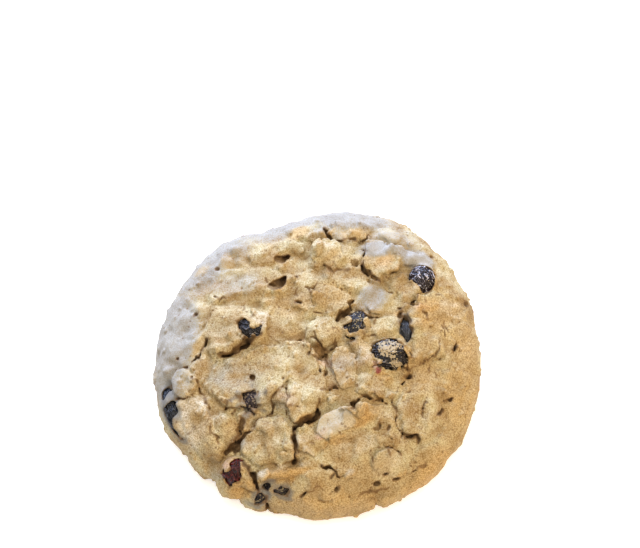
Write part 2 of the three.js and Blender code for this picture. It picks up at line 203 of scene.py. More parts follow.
def boxOver(points, spare, lowest):
    # everything above and below an outline seen from above
    spans = [(min(p[i] for p in points) - spare, max(p[i] for p in points) + spare) for i in range(2)]
    return (*(gridSlice(i, *span) for i, span in enumerate(spans)), gridSlice(2, lowest, 99))


def inAxes(box, point, axes, steady=False):
    # the box's points in a piece's own axes; steady leaves out the wandering of outlines
    if steady:
        spans = np.meshgrid(*(grid[i][box[i]] for i in range(3)), indexing="ij", sparse=True)
    else:
        spans = [warped[i][box] for i in range(3)]
    x, y, z = (span - point[i] for i, span in enumerate(spans))
    return [x * axis[0] + y * axis[1] + z * axis[2] for axis in axes]


def joined(one, other, blend):
    t = np.clip(0.5 + 0.5 * (other - one) / blend, 0, 1)
    return other + (one - other) * t - blend * t * (1 - t)


def overlap(one, other, blend):
    return -joined(-one, -other, blend)


def joinTo(box, shape, blend):
    field[box] = joined(shape, field[box], blend)


def cutFrom(box, shape, blend):
    # takes away where shape is below nought
    field[box] = overlap(-shape, field[box], blend)


def roundedBody(u, v, w, sizes, power=2.0):
    # distance from a rounded body of those half sizes; a higher power is squarer
    terms = [np.abs(a) / size for a, size in zip((u, v, w), sizes)]
    k = np.maximum(sum(t ** power for t in terms), 1e-6) ** (1 / power)
    slope = np.sqrt(sum((t ** (power - 1) / size) ** 2 for t, size in zip(terms, sizes))) * k ** (1 - power)
    return (k - 1) / np.maximum(slope, 0.05)


def outlineDistance(x, y, points):
    # distance from a closed outline seen from above, below nought inside; its corners are cut first, so each
    # is two, a quarter of the way along its sides
    sides = zip(points, points[1:] + points[:1])
    points = [(a[0] + (b[0] - a[0]) * t, a[1] + (b[1] - a[1]) * t) for a, b in sides for t in (0.25, 0.75)]
    inside = np.zeros(x.shape, bool)
    nearest = np.full(x.shape, 1e6, np.float32)
    for (ax, ay), (bx, by) in zip(points, points[1:] + points[:1]):
        dx, dy = bx - ax, by - ay
        px, py = x - ax, y - ay
        t = np.clip((px * dx + py * dy) / (dx * dx + dy * dy), 0, 1)
        nearest = np.minimum(nearest, (px - t * dx) ** 2 + (py - t * dy) ** 2)
        inside ^= ((ay > y) != (by > y)) & (px < py * dx / (dy or 1e-9))
    return np.where(inside, -1, 1) * np.sqrt(nearest)


def reachTowards(degrees, x, y, points):
    # how far x and y lie that way, and the least and greatest reach of an outline
    c, s = direction(degrees)
    reaches = [px * c + py * s for px, py in points]
    return x * c + y * s, min(reaches), max(reaches)


# Slabs of dough, as outlines seen from above. The first row is the rise over the dome, how soft the shoulder
# is, which way the slab's top tips up and by how much at its edge; the others are the outline's corners. All
# in mm and degrees.
slabs = {
    "leftRimShelf": "0.3 2.4 0 0, -30 17, -28.6 10, -28.6 4, -30.8 -3, -34 -5, -38.6 -4, -39.8 4, -36.8 13, "
        "-32.4 19.4",
    "leftShelf": "0.7 1.4 230 0.3, -27.6 19.8, -20.4 20.8, -12.6 20.6, -8.2 19, -7.6 14.4, -12 13.6, "
        "-20.6 12.6, -22.2 11.7, -24.8 12, -27.6 14.8",
    "leftTopTan": "1.1 1.2 80 0.3, -17.4 23.8, -13.6 27.6, -8.6 28.6, -4.4 27.4, -3.6 24.6, -7.2 25, "
        "-9.6 25, -11.6 23.2, -12.4 21.4, -15.4 21.2",
    "leftBlock": "1.7 1.3 275 0.7, -26.6 10.4, -20.8 9.8, -15.6 8.8, -12.2 7.4, -12.6 4.2, -14 1.6, "
        "-16.6 0.2, -20.6 -0.7, -24.4 -2.3, -27.2 0.6, -27.8 5.4",
    "leftUpper": "1.1 1.1 180 0.3, -29.9 -3.8, -27.6 -1.2, -26.4 -3.6, -26.2 -8.4, -28.4 -9.6, -30.2 -7.4",
    "leftPale": "1.8 0.9 300 0.4, -34.6 -6.2, -31.6 -5.6, -29.6 -7.2, -28.6 -10.4, -30.4 -12, -33.8 -11.4, "
        "-35 -9",
    "leftBroad": "1.6 1.2 265 0.4, -24.2 -3.2, -20.6 -2, -18.2 -3, -12.6 -0.4, -9.6 -1.2, -7.6 -5, -8 -9.4, "
        "-9.4 -13.2, -13.4 -15.4, -18.2 -15.6, -23.6 -14.6, -26.8 -10.8, -26 -6",
    "pinkStep": "0.7 0.8 0 0, -10 -13.4, -7.2 -12, -6.8 -17.4, -9.8 -16.8",
    "wedge": "1.1 0.8 90 0.2, -19.4 -16, -14.4 -16.6, -13.4 -17.6, -15.6 -18.8, -16.6 -20.8, -18.6 -20.4",
    "leftRidge": "1.8 1.2 310 0.6, -33.4 -12.2, -29.6 -11.8, -27.2 -14.6, -25 -17.6, -24.6 -20.4, -23 -23.6, "
        "-22.6 -26.8, -26.2 -26.4, -30.2 -23.4, -33.2 -19.6, -34.2 -15.4",
    "lowLeft": "1.35 1.4 40 0.4, -17.9 -25.3, -16.2 -21.1, -15.3 -18.8, -13.3 -17.8, -11 -17.3, -8.6 -17.9, "
        "-7.2 -20.4, -6.6 -23.1, -6.3 -25, -6.2 -27.2, -8.6 -27.9, -12.1 -28.4, -15 -28.4, -16.8 -27.4",
    "centreTall": "1.8 1.5 255 0.5, -6.9 -7, -3.6 -5.6, -0.4 -5.8, 1.4 -9.4, 0.5 -12.8, -1.4 -15.2, "
        "-3.2 -17.4, -5 -19.6, -6.7 -17, -7.2 -12.6",
    "aboveMiddle": "1 1.6 320 0.6, -8.4 9.8, -2 8, 3 7.7, 5.6 8.4, 7.6 10.2, 7.8 12.8, 5 14.8, 1 15.6, "
        "-3 14.4, -7.4 13.2",
    "upperMiddle": "1.2 1.3 260 0.5, 0.4 20.4, 2.6 16.6, 4.6 15.8, 7.8 13.6, 10.8 15.8, 12.4 18.4, "
        "10.4 20.4, 6 20.9",
    "greyRight": "1.2 2.2 230 0.5, 7.9 11.6, 9 9.2, 11.4 8.7, 14.6 9.5, 17.6 10.6, 16.7 14.4, 15.4 17.3, "
        "12.4 17.7, 10 15.2",
    "topRight": "2 1.1 190 0.5, 9.9 25.4, 11.8 27.8, 14.8 27.9, 17.2 26.2, 20 26.2, 22.2 25, 21 22.4, "
        "18 19.5, 14.6 17.2, 12.2 18.6, 10.2 19.8, 10 21.6, 10.8 23.6",
    "whiteShoulder": "1.7 1 90 0.2, 12 26, 15.4 26, 18.9 25.6, 21.6 24.6, 24.6 24.6, 27.3 23.4, 28.6 21, "
        "26.6 19.9, 25.4 21, 23.8 21.9, 21.2 21.9, 18.2 23.2, 12.4 23.7",
    "topKnob": "1.9 1.3 100 0.5, -0.6 26.8, 2.6 27, 4.8 25.4, 6 22.2, 5.4 20.2, 1.8 19.9, -0.8 20.5, "
        "-1.8 23.6",
    "topShelf": "0.9 1.2 250 0.4, 4.4 27.7, 8 28.1, 10.2 27.9, 13.2 30, 14.2 33.2, 11.6 35.2, 5 35.8, "
        "2.4 34, 3.2 31",
    "topLeftShelf": "1 1.4 260 0.3, -7.2 28.8, -3.4 27.2, -0.6 27.6, 2.3 30.4, 1.4 34.6, -2.2 36.4, "
        "-4.8 34.2, -6.4 31.8",
    "rimRight": "0.8 1.6 220 0.5, 14.8 31.4, 14.5 28.5, 17.2 27.1, 20.4 28.1, 22.6 26.8, 24.4 25.1, 27.4 25, "
        "29.4 27.2, 24.4 32.4, 18.4 35",
    "besideRaisin": "0.8 1.2 60 0.3, 16.8 16.6, 18.6 19.4, 21.4 19.8, 21.9 16, 22.6 15, 23.8 13.6, 22 11.4, "
        "19.6 10.8, 18.2 12.8",
    "rightTop": "0.5 1.6 0 0, 30 22, 33.8 18, 36 13, 32 13.6, 29.6 14.8, 29.2 18",
    "betweenRaisins": "1.1 1.4 90 0.2, 11.6 6.8, 14.6 6.6, 18.6 8, 19.4 5.2, 18.8 2.5, 14.4 2, 11.8 2.8",
    "rightFlank": "1.2 1.6 170 0.7, 23.8 12.6, 26.4 13.4, 30.2 13.6, 32.8 9.8, 33.2 3.4, 31.6 -1.4, 27 -3.4, "
        "23.2 -4.2, 22.6 0.4, 23 6.4",
    "rightEdge": "0.5 1.8 0 0, 34 10.6, 36.6 6, 38 -1, 36.8 -8, 33.6 -9.6, 34.4 -3, 34 4",
    "creamSide": "2 1 130 0.3, 7 0.5, 9.2 1.2, 11.8 -0.8, 12.4 -4.2, 11.9 -7.2, 9.8 -6.4, 8.4 -3",
    "underCrust": "1.1 1 260 0.5, 10.3 -8.2, 12.8 -6.4, 15.4 -7, 18.6 -6.6, 20.4 -7.4, 19.8 -10.2, "
        "17.4 -13.8, 14.2 -13.1, 9.8 -12.7, 8.7 -11.2",
    "orangeRidge": "1.5 1.8 130 0.5, 0.8 -22.6, 2.6 -21.4, 6.4 -19.8, 8.8 -17, 9.4 -14.7, 12.6 -14.4, "
        "15.8 -15.2, 15.4 -18, 11.6 -20.6, 6.4 -22.6, 2.4 -23.9",
    "chin": "1.4 1 140 0.3, -5.6 -20.7, -2.4 -19.9, 0.4 -21.4, 1.6 -23.4, -0.6 -24.8, -2.2 -26, -4.1 -23.8",
    "lowMiddle": "0.5 1.4 60 0.2, -4.6 -26.4, -1.8 -26.6, 2 -24.4, 8 -22.8, 12.4 -24, 11.6 -28, 11.8 -30.8, "
        "6 -31.2, 3.2 -29.6, 0 -28.5, -3.6 -28.8",
    "besideRound": "0.5 1.2 100 0.2, 15.9 -15.5, 17.4 -17.8, 19.2 -20.8, 21.6 -23.6, 20.2 -26.8, 17.8 -24.3, "
        "13.6 -23.8, 9.4 -23, 12.4 -20.8, 15.4 -18.4",
    "lowRight": "0.9 1.6 190 0.5, 20 -10.4, 23 -8.8, 26.8 -9.6, 29.2 -12.8, 29 -17, 26.4 -20.6, 22.6 -21.1, "
        "19.4 -19.4, 18.4 -16, 18.7 -12.8",
    "rightMiddle": "0.5 1.2 100 0.3, 23 -8.4, 22.4 -5.6, 26.2 -4.5, 30 -2.4, 33.8 -3.4, 32.8 -9, 28.4 -9.8",
    "lowRightRim": "0.4 1.4 120 0.3, 22.6 -28.2, 26.6 -26.8, 30.4 -24.6, 31.6 -20, 27.6 -20.8, 23.8 -23.2, "
        "21.8 -25.6",
    "bottomRight": "0.5 1.2 110 0.3, 9.4 -34, 14.6 -33.6, 19.6 -31.2, 22.4 -28.8, 20.8 -26.8, 19.4 -29.8, "
        "12.6 -30.9",
    "bottomMiddle": "0.5 1.2 100 0.3, -8.6 -34.8, -4.2 -34.4, 0.4 -34, 8.6 -33.8, 4.8 -31.4, 0.2 -28.9, "
        "-3.4 -30",
}
slabShape = {"blend": 0.45, "slant": 0.3, "root": 6.0, "spare": 1.8}  # mm


def addSlab(points, rise, shoulder, tipTowards, tip):
    box = boxOver(points, slabShape["spare"], widest)
    x, y = warped[0][box], warped[1][box]
    there, least, most = reachTowards(tipTowards, x, y, points)
    middle, reach = (most + least) / 2, (most - least) / 2
    calm = doughSkin["relief"] * (1 - doughSkin["calmRim"] * atRim[box[:2]])
    top = bare[box] - calm * (rise + tip * (there - middle) / reach)
    # the walls lean outwards on the way down
    edge = outlineDistance(x, y, points) + slabShape["slant"] * np.clip(top, -4, 0)
    edge += doughSkin["ragged"] * (jagged[box] + 0.4 * speckle[box])
    shape = overlap(edge, top, doughSkin["crisp"] * shoulder)
    centre = [sum(p[i] for p in points) / len(points) for i in range(2)]
    lowest = domeSpot(*centre)[0].z - slabShape["root"]
    joinTo(box, np.maximum(shape, lowest - warped[2][box]), slabShape["blend"])


for slab in slabs.values():
    shape, *points = rows(slab)
    addSlab(points, *shape)
print("slabs:", len(slabs))

# Round lumps: on the wall, direction in degrees and height; on top, x and y. Then half length, half width,
# turn, rise and blend.
lumps = {
    "middleRound": ({"x": 0.6, "y": 3.1}, 4.3, 3.9, 25, 1.6, 0.3),
    "leftBump": ({"x": -22.1, "y": -19.8}, 4.4, 3.3, 105, 2.2, 0.2),
    "edgeOnOat": ({"x": -8.6, "y": -30}, 6.4, 1.2, 11, 2.1, 0.12),
    "redKnob": ({"side": 237, "height": 7.6}, 3.7, 2.6, 28, 1.7, 0.35),
    "redKnobRight": ({"side": 241.8, "height": 11.2}, 2.9, 1.7, 108, 1.9, 0.3),
    "greyLump": ({"side": 244.5, "height": 7.6}, 2.7, 2.2, 10, 1.1, 0.4),
    "lowKnob": ({"side": 246, "height": 5.4}, 3.6, 2.6, 5, 0.9, 0.5),
    "rimRight": ({"side": 1, "height": 6}, 7, 4, 0, 0.8, 1.2),
    "rimLowLeft": ({"side": 223, "height": 6}, 4, 3, 0, 0.9, 0.8),
    "rimLowRight": ({"side": 301, "height": 5.5}, 7, 3.5, 2, 0.7, 1),
    "wallFront": ({"side": 276, "height": 6.5}, 9, 4, 2, 0.5, 0.6),
    "wallRight": ({"side": 338, "height": 6}, 10, 4, 4, 0.4, 0.6),
    "orangeCap": ({"x": 16.2, "y": 22.4}, 3.4, 2.7, 30, 2.5, 0.5),
    "pitBridge": ({"x": -9.4, "y": 20.4}, 1.6, 1.3, 80, 1, 0.3),
    "overRaisin": ({"x": 23.4, "y": 15}, 1.5, 1.1, 20, 1.7, 0.3),
    "topTan": ({"x": -4.6, "y": 30}, 2.9, 1.8, 45, 1.3, 0.4),
}
lumpShape = {"root": 1.4, "power": 2.7}


def addLump(spot, long, wide, turn, rise, blend):
    point, out = spot
    deep = rise + lumpShape["root"]
    box = boxAround(point, max(long, wide, deep) + 2)
    u, v, w = inAxes(box, point + out * (rise - deep), turnedAxes(out, turn), steady=True)
    joinTo(box, roundedBody(u, v, w, (long, wide, deep), lumpShape["power"]), blend)


for place, *shape in lumps.values():
    addLump(domeSpot(**place), *shape)
field -= layeredNoise(doughSkin["crumb"], doughSkin["seeds"]["crumb"])
print("lumps:", len(lumps))


def skinSpots(count, seed, furthest=math.inf):
    # spots spread at random over the dough's present skin, with the outward direction at each
    inner = field[1:-1, 1:-1, 1:-1]
    near = np.flatnonzero(np.abs(inner.ravel()) < 0.12)
    near = near[grid[2][1 + near % inner.shape[2]] > 2.0]
    near = near[rimward[1:-1, 1:-1].ravel()[near // inner.shape[2]] < furthest]
    picked = np.random.default_rng(seed).choice(near, count, replace=False)
    i, j, k = (c + 1 for c in np.unravel_index(picked, inner.shape))
    slope = np.stack([
        field[i + 1, j, k] - field[i - 1, j, k],
        field[i, j + 1, k] - field[i, j - 1, k],
        field[i, j, k + 1] - field[i, j, k - 1],
    ], 1)
    slope /= np.maximum(np.linalg.norm(slope, axis=1, keepdims=True), 1e-6)
    spots = np.stack([grid[0][i], grid[1][j], grid[2][k]], 1)
    return [(Vector(s), Vector(n)) for s, n in zip(spots, slope)]


# Patches that change the dough's colour: x, y, half length, half width, turn, strength. Toast, pink and berry
# are where the oven or the fruit has changed it; shade is painted shade in valleys, under ledges and over broad
# areas that are darkened; grey is painted cool shade, partly the dough's own greyer tone; pale is partly paler
# dough and partly painted highlight; the floury patches are partly flour and partly painted cool sheen.
stains = {
    "toast": rows(
        "35.8 1.7 3 9 0 0.6, -23.1 23.8 2.6 1.8 30 0.55, 9.9 29.5 3.6 1.6 20 0.6, -5.8 30.4 3 2.2 45 0.65, "
        "-29.7 -17.3 7 3 110 0.45, -8.3 10.1 8 4 0 0.4, 7.6 -30.2 10 4 10 0.4, 23.3 -6.4 6 7 0 0.55, "
        "2.8 13 7 4 0 0.5, -29.2 0.8 5 1.1 60 0.6, -22.6 22.2 2.8 1.8 22 0.5, 2.6 22.4 3 2.2 20 0.5, "
        "15.4 21.4 2.8 2.2 30 0.8, -4.6 30 2.8 2 45 0.7, 8.6 29.6 4.4 1.8 10 0.6, -14 22.2 2 1.3 20 0.5, "
        "27.2 8 5 5.6 90 0.75, 25.6 -0.6 2.6 4.2 90 0.35, 10.4 -17.2 6 2.4 35 1, 3.6 -23 5 1.1 8 0.7, "
        "2 -24.4 4.4 1.2 10 0.4, -18.6 -33.4 3.6 2.2 15 1, -7.6 -30.4 6.4 1.6 12 1.4, "
        "-28.8 -18.4 7 2.6 120 0.5, -25.6 -23.6 4 2.8 120 0.4, -3 -18.2 2.4 1.8 40 0.7, "
        "14.8 -8.4 2.8 1.3 0 1, 9 22 2.4 3.6 90 0.5, 9 -1.2 1.6 4 105 0.4, -10.4 16.2 2.4 2 40 0.9, "
        "-9.6 22.6 2.2 1.8 0 0.9, -20.4 -20.4 1.8 3.2 100 0.45, 0 -1.6 2.2 2 60 0.9, "
        "-5.6 2.6 2.6 2.4 60 0.6, 4 3.4 1.2 3 110 0.5, -6.6 -25.4 1 3.6 95 0.5, 26 -30 12 5 42 0.75, "
        "4 -37 20 4.4 2 0.65, 34 -10 12 5 82 0.6, 32 8 5 9 10 0.45, 18.6 -30.4 2.6 1.2 30 0.6, "
        "-29.5 21 2.6 1.6 40 0.6, 2.8 29.6 1.4 2.4 120 0.7, 24 13.2 2.4 1.2 20 0.5, 19.6 8 1.4 2.4 90 0.7"
    ),
    # pale: partly paler dough and partly painted highlight on tops and slopes that face the light
    "pale": rows(
        "8.2 -23.6 6 2.5 15 0.7, -31 -19.1 6 3 110 1.1, -7.9 -29.1 6.4 1.2 12 0.8, 15.2 22.5 3.6 2.6 30 0.7, "
        "-28 -15.5 5 3 110 0.8, -30 -17.3 7 4 110 0.8, -12 -22.2 5 4 0 0.3, 31.9 9.8 4 3 0 0.5, "
        "19.1 27 5 2.5 0 0.5, 7.7 -24.1 6 2.5 15 0.4, -14.4 6.4 2.2 2.6 90 0.7, 11.6 24.6 1.6 3.2 100 0.8, "
        "33.6 11.8 2.2 1.2 20 0.7, 23.2 15.2 1.4 1 20 0.9, -32 -8 2.4 2 30 0.5, -23.8 -18 1.4 2.6 80 0.45, "
        "-13.6 -30.8 1.8 0.9 12 1, -4.6 -22.6 1.2 2.4 120 0.6, 16.4 -27 3.4 2.4 20 0.35, "
        "19 27.4 7 3 160 0.7, 1.4 25.4 2.6 1 0 0.6, 0.4 5 2.6 2 20 0.3, 6.2 -29.4 1.6 1.6 0 0.5, "
        "8.4 -2.8 1.4 3.8 105 0.6, 36.4 1 2 5 90 0.3, 27 -29.6 4.4 1.4 30 0.4"
    ),
    # shade: painted shade in valleys, under ledges and over broad areas that are darkened
    "shade": rows(
        "5.8 -4.8 3 4.4 100 0.46, -23.9 3.9 6 4 0 0.42, -10.3 5.1 7 3 0 0.26, 3.8 11.8 6 4 0 0.26, "
        "5.3 -4.3 3 4.4 100 0.4, -23.4 3.3 7 5 0 0.34, -8.3 10.1 6 3 0 0.28, 23.3 -6.4 6 6 0 0.32, "
        "7.6 -30.2 9 3 10 0.34, -19.9 -23.4 3.8 1.2 38 0.9, -15.9 -19.6 1.2 2.2 150 0.6, "
        "-5.8 -23.8 3.8 0.9 95 0.8, -2.2 -17.8 3 1.1 42 0.9, -18.4 -0.6 4.6 0.9 25 0.8, "
        "-9 -12 3.4 0.7 60 0.5, 1.4 -3.6 3.2 0.9 100 0.7, -0.4 -0.2 2.4 1.2 50 0.6, 5.6 7.4 3 1 40 0.7, "
        "20.2 -6.6 3 0.9 80 0.6, 19.9 8 2.2 0.9 85 0.6, 9.9 20.6 2.4 0.7 100 0.6, 11.8 18 1.8 0.8 150 0.7, "
        "-15.6 -31.8 3.6 0.9 115 0.7, 12 -13.9 3.8 0.6 170 0.6, -19.5 16.5 7 3.6 20 0.3, 9 -33 5 2 0 0.35, "
        "21.2 -21.9 2 0.6 10 0.6, 14.4 -34.6 5.6 0.8 20 0.6, 17.2 -16.8 2.6 0.5 100 0.4"
    ),
    # grey: painted cool shade, partly the dough's own greyer tone
    "grey": rows(
        "-20.4 -7.7 8 5 0 0.7, 12.4 12.6 4.6 3.6 50 0.55, 5.4 -5 3 4.6 100 0.8, -20.4 -9.6 4.4 3.6 140 0.5, "
        "-13.2 -13.8 2.6 3 80 0.4, -8.4 -15 1.4 2.6 90 0.6, -17.6 -23.6 1.6 3.4 70 0.7, "
        "-13.4 -34.8 2.6 2.6 0 0.8, -5 -25.2 1.2 3.2 100 0.5, -24.6 -28.6 3.4 2 140 0.6, "
        "-19.5 16.5 7 3.6 20 0.4, 22 9 1.4 2 80 0.4, -24 -5 2 3.4 120 0.4, 1.2 18 3 2 0 0.4, "
        "6 -37.2 9 1.4 8 0.4, -4 -37 5 2 170 0.4"
    ),
    "pink": rows(
        "0.2 -21.2 2 1 20 0.9, 24.2 9.4 1.2 3 80 0.6, -22.2 -28.6 2.2 1.2 20 0.7, 10.2 -4.4 1.2 3 120 0.4, "
        "1 -4 1.2 2.8 100 0.6, 8 0 1.2 1.2 0 0.4, -7.8 -13.6 1.2 2.6 90 0.5, 13.2 -5.8 1.9 1.3 120 1, "
        "-21.6 -28 2.6 1.6 20 0.8"
    ),
    # floury: pale grey, partly flour dust and partly painted cool sheen, mostly on the top and left rim, which
    # faces the window light
    "flourAndSheen": rows(
        "3.5 -18.6 4.8 2.9 26 0.3, 14.6 24.8 6 3.2 0 1.3, 24 23.2 5.4 3 160 1.4, -36 4 16 7.4 90 1, "
        "-28.5 25.5 17 9 45 0.95, -9 35.4 15 6.6 16 0.95, 7 35.8 13 5.6 170 1, 18.6 27 10 4.4 160 0.55, "
        "27 21.8 2.4 1.4 130 0.8, -36.4 -9 9 4.4 100 1, -22 16 9 4.4 0 0.4, 4.6 31 8 4.4 0 0.65, "
        "20.6 29.4 8 4 145 0.4, 12.6 12.2 5.2 4 50 0.72, -33 -8.4 4 3 60 0.5"
    ),
    "berry": rows("14.3 -6.9 1.3 0.9 35 1.4"),
}


def stainAt(name, points):
    total = np.zeros(len(points))
    for x, y, long, wide, turn, strength in stains[name]:
        c, s = direction(turn)
        px, py = points[:, 0] - x, points[:, 1] - y
        reach = np.hypot((px * c + py * s) / long, (py * c - px * s) / wide)
        total = np.maximum(total, strength * easeStep(-reach, -1.25, -0.45))
    return total * (points[:, 2] > 1.5)  # the underside has none


# Pebbles of dough too small to place one by one, in mm.
pebbles = {
    "count": 110, "seed": 33, "long": (0.9, 2.6), "wide": (0.6, 0.9), "rise": (0.03, 0.24), "deep": 1.2,
    "tip": 9, "blend": 0.3, "furthest": 0.93, "spotSeed": 34,
}
random = np.random.default_rng(pebbles["seed"])
for spot, out in skinSpots(pebbles["count"], pebbles["spotSeed"], pebbles["furthest"]):
    long = random.uniform(*pebbles["long"])
    rise = random.uniform(*pebbles["rise"]) * (0.5 + 0.5 * abs(out.z))
    axes = turnedAxes(out, random.uniform(0, 360))
    tipped = Matrix.Rotation(math.radians(random.uniform(-1, 1) * pebbles["tip"]), 3, axes[1])
    box = boxAround(spot, long + 1.2)
    u, v, w = inAxes(box, spot + out * (rise - pebbles["deep"]), [tipped @ axis for axis in axes])
    sizes = (long, long * random.uniform(*pebbles["wide"]), pebbles["deep"])
    joinTo(box, roundedBody(u, v, w, sizes, lumpShape["power"]), pebbles["blend"])
print("pebbles:", pebbles["count"])

# Rolled oats: thin curled ovals with a groove along the middle. Each is x, y, half length, half width, turn,
# tip about its length, tip about its width, lift of its middle above the dome, and how pale it is.
oats = {
    "whole": {
        "thick": 0.8, "power": 2.3, "curl": 0.35, "groove": 0.12, "grooveWidth": 0.4, "ragged": 0.1,
        "corner": 0.35, "blend": 0.3, "room": 1.2, "fades": (-0.25, 0.3),
    },
    "placed": rows(
        "3.5 -18.6 4.5 2.7 26 -8 3 1.75 1, 5.3 -5.6 4.9 3 104 10 -6 1.25 0.3, "
        "-5.2 -4 4.4 4.2 150 -15 0 1 0.3, -5.9 -13.4 3.9 1.3 84 34 4 2.3 0.5, 14.9 -28 4 3.8 20 10 0 0 0.3, "
        "0.6 -32 4.5 3.6 150 6 -2 0.3 0.2, 2.6 24.2 3.1 2.4 35 14 4 1.9 0.3, "
        "-23 22.1 2.8 1.6 22 20 0 0.3 0.2, -29.2 0.6 4.9 1.6 60 40 0 0.1 0.2, "
        "-3.2 -23.8 2.9 1 128 40 0 1.6 0.8, 8.4 31.4 4.2 2.4 168 -14 0 1.3 0.2"
    ),
    "loose": {
        "count": 40, "seed": 5, "long": (1.4, 2.8), "wide": (0.55, 0.85), "lift": (-0.45, -0.12),
        "pale": (0.05, 0.3), "tip": 14, "furthest": 0.86, "spotSeed": 62,
    },
}


def addOat(point, axes, long, wide, tips, pale):
    whole = oats["whole"]
    tipLong, tipWide = (Matrix.Rotation(math.radians(tips[i]), 3, axes[i]) for i in range(2))
    axes = [tipWide @ tipLong @ axis for axis in axes]
    box = boxAround(point, long + whole["room"])
    u, v, w = inAxes(box, point, axes)
    w = w + whole["curl"] * ((u / long) ** 2 + (v / wide) ** 2 - 0.5)
    w = w + whole["groove"] * np.exp(-((v / whole["grooveWidth"]) ** 2))
    power = whole["power"]
    edge = ((np.abs(u) / long) ** power + (np.abs(v) / wide) ** power) ** (1 / power)
    edge = (edge - 1) * wide + whole["ragged"] * jagged[box]
    shape = overlap(edge, np.abs(w) - whole["thick"] / 2, whole["corner"])
    mark("flake", box, pale * easeStep(field[box] - shape, *whole["fades"]))
    joinTo(box, shape, whole["blend"])


for x, y, long, wide, turn, tipLong, tipWide, lift, pale in oats["placed"]:
    point, out = domeSpot(x, y)
    addOat(point + out * lift, turnedAxes(out, turn), long, wide, (tipLong, tipWide), pale)
loose = oats["loose"]
random = np.random.default_rng(loose["seed"])
for spot, out in skinSpots(loose["count"], loose["spotSeed"], loose["furthest"]):
    long = random.uniform(*loose["long"])
    tips = random.uniform(-loose["tip"], loose["tip"], 2) * (0.4 + 0.6 * abs(out.z))
    axes = turnedAxes(out, random.uniform(0, 360))
    lift = random.uniform(*loose["lift"])
    wide = long * random.uniform(*loose["wide"])
    addOat(spot + out * lift, axes, long, wide, tips, random.uniform(*loose["pale"]))
print("oats:", len(oats["placed"]), "placed,", loose["count"], "loose")

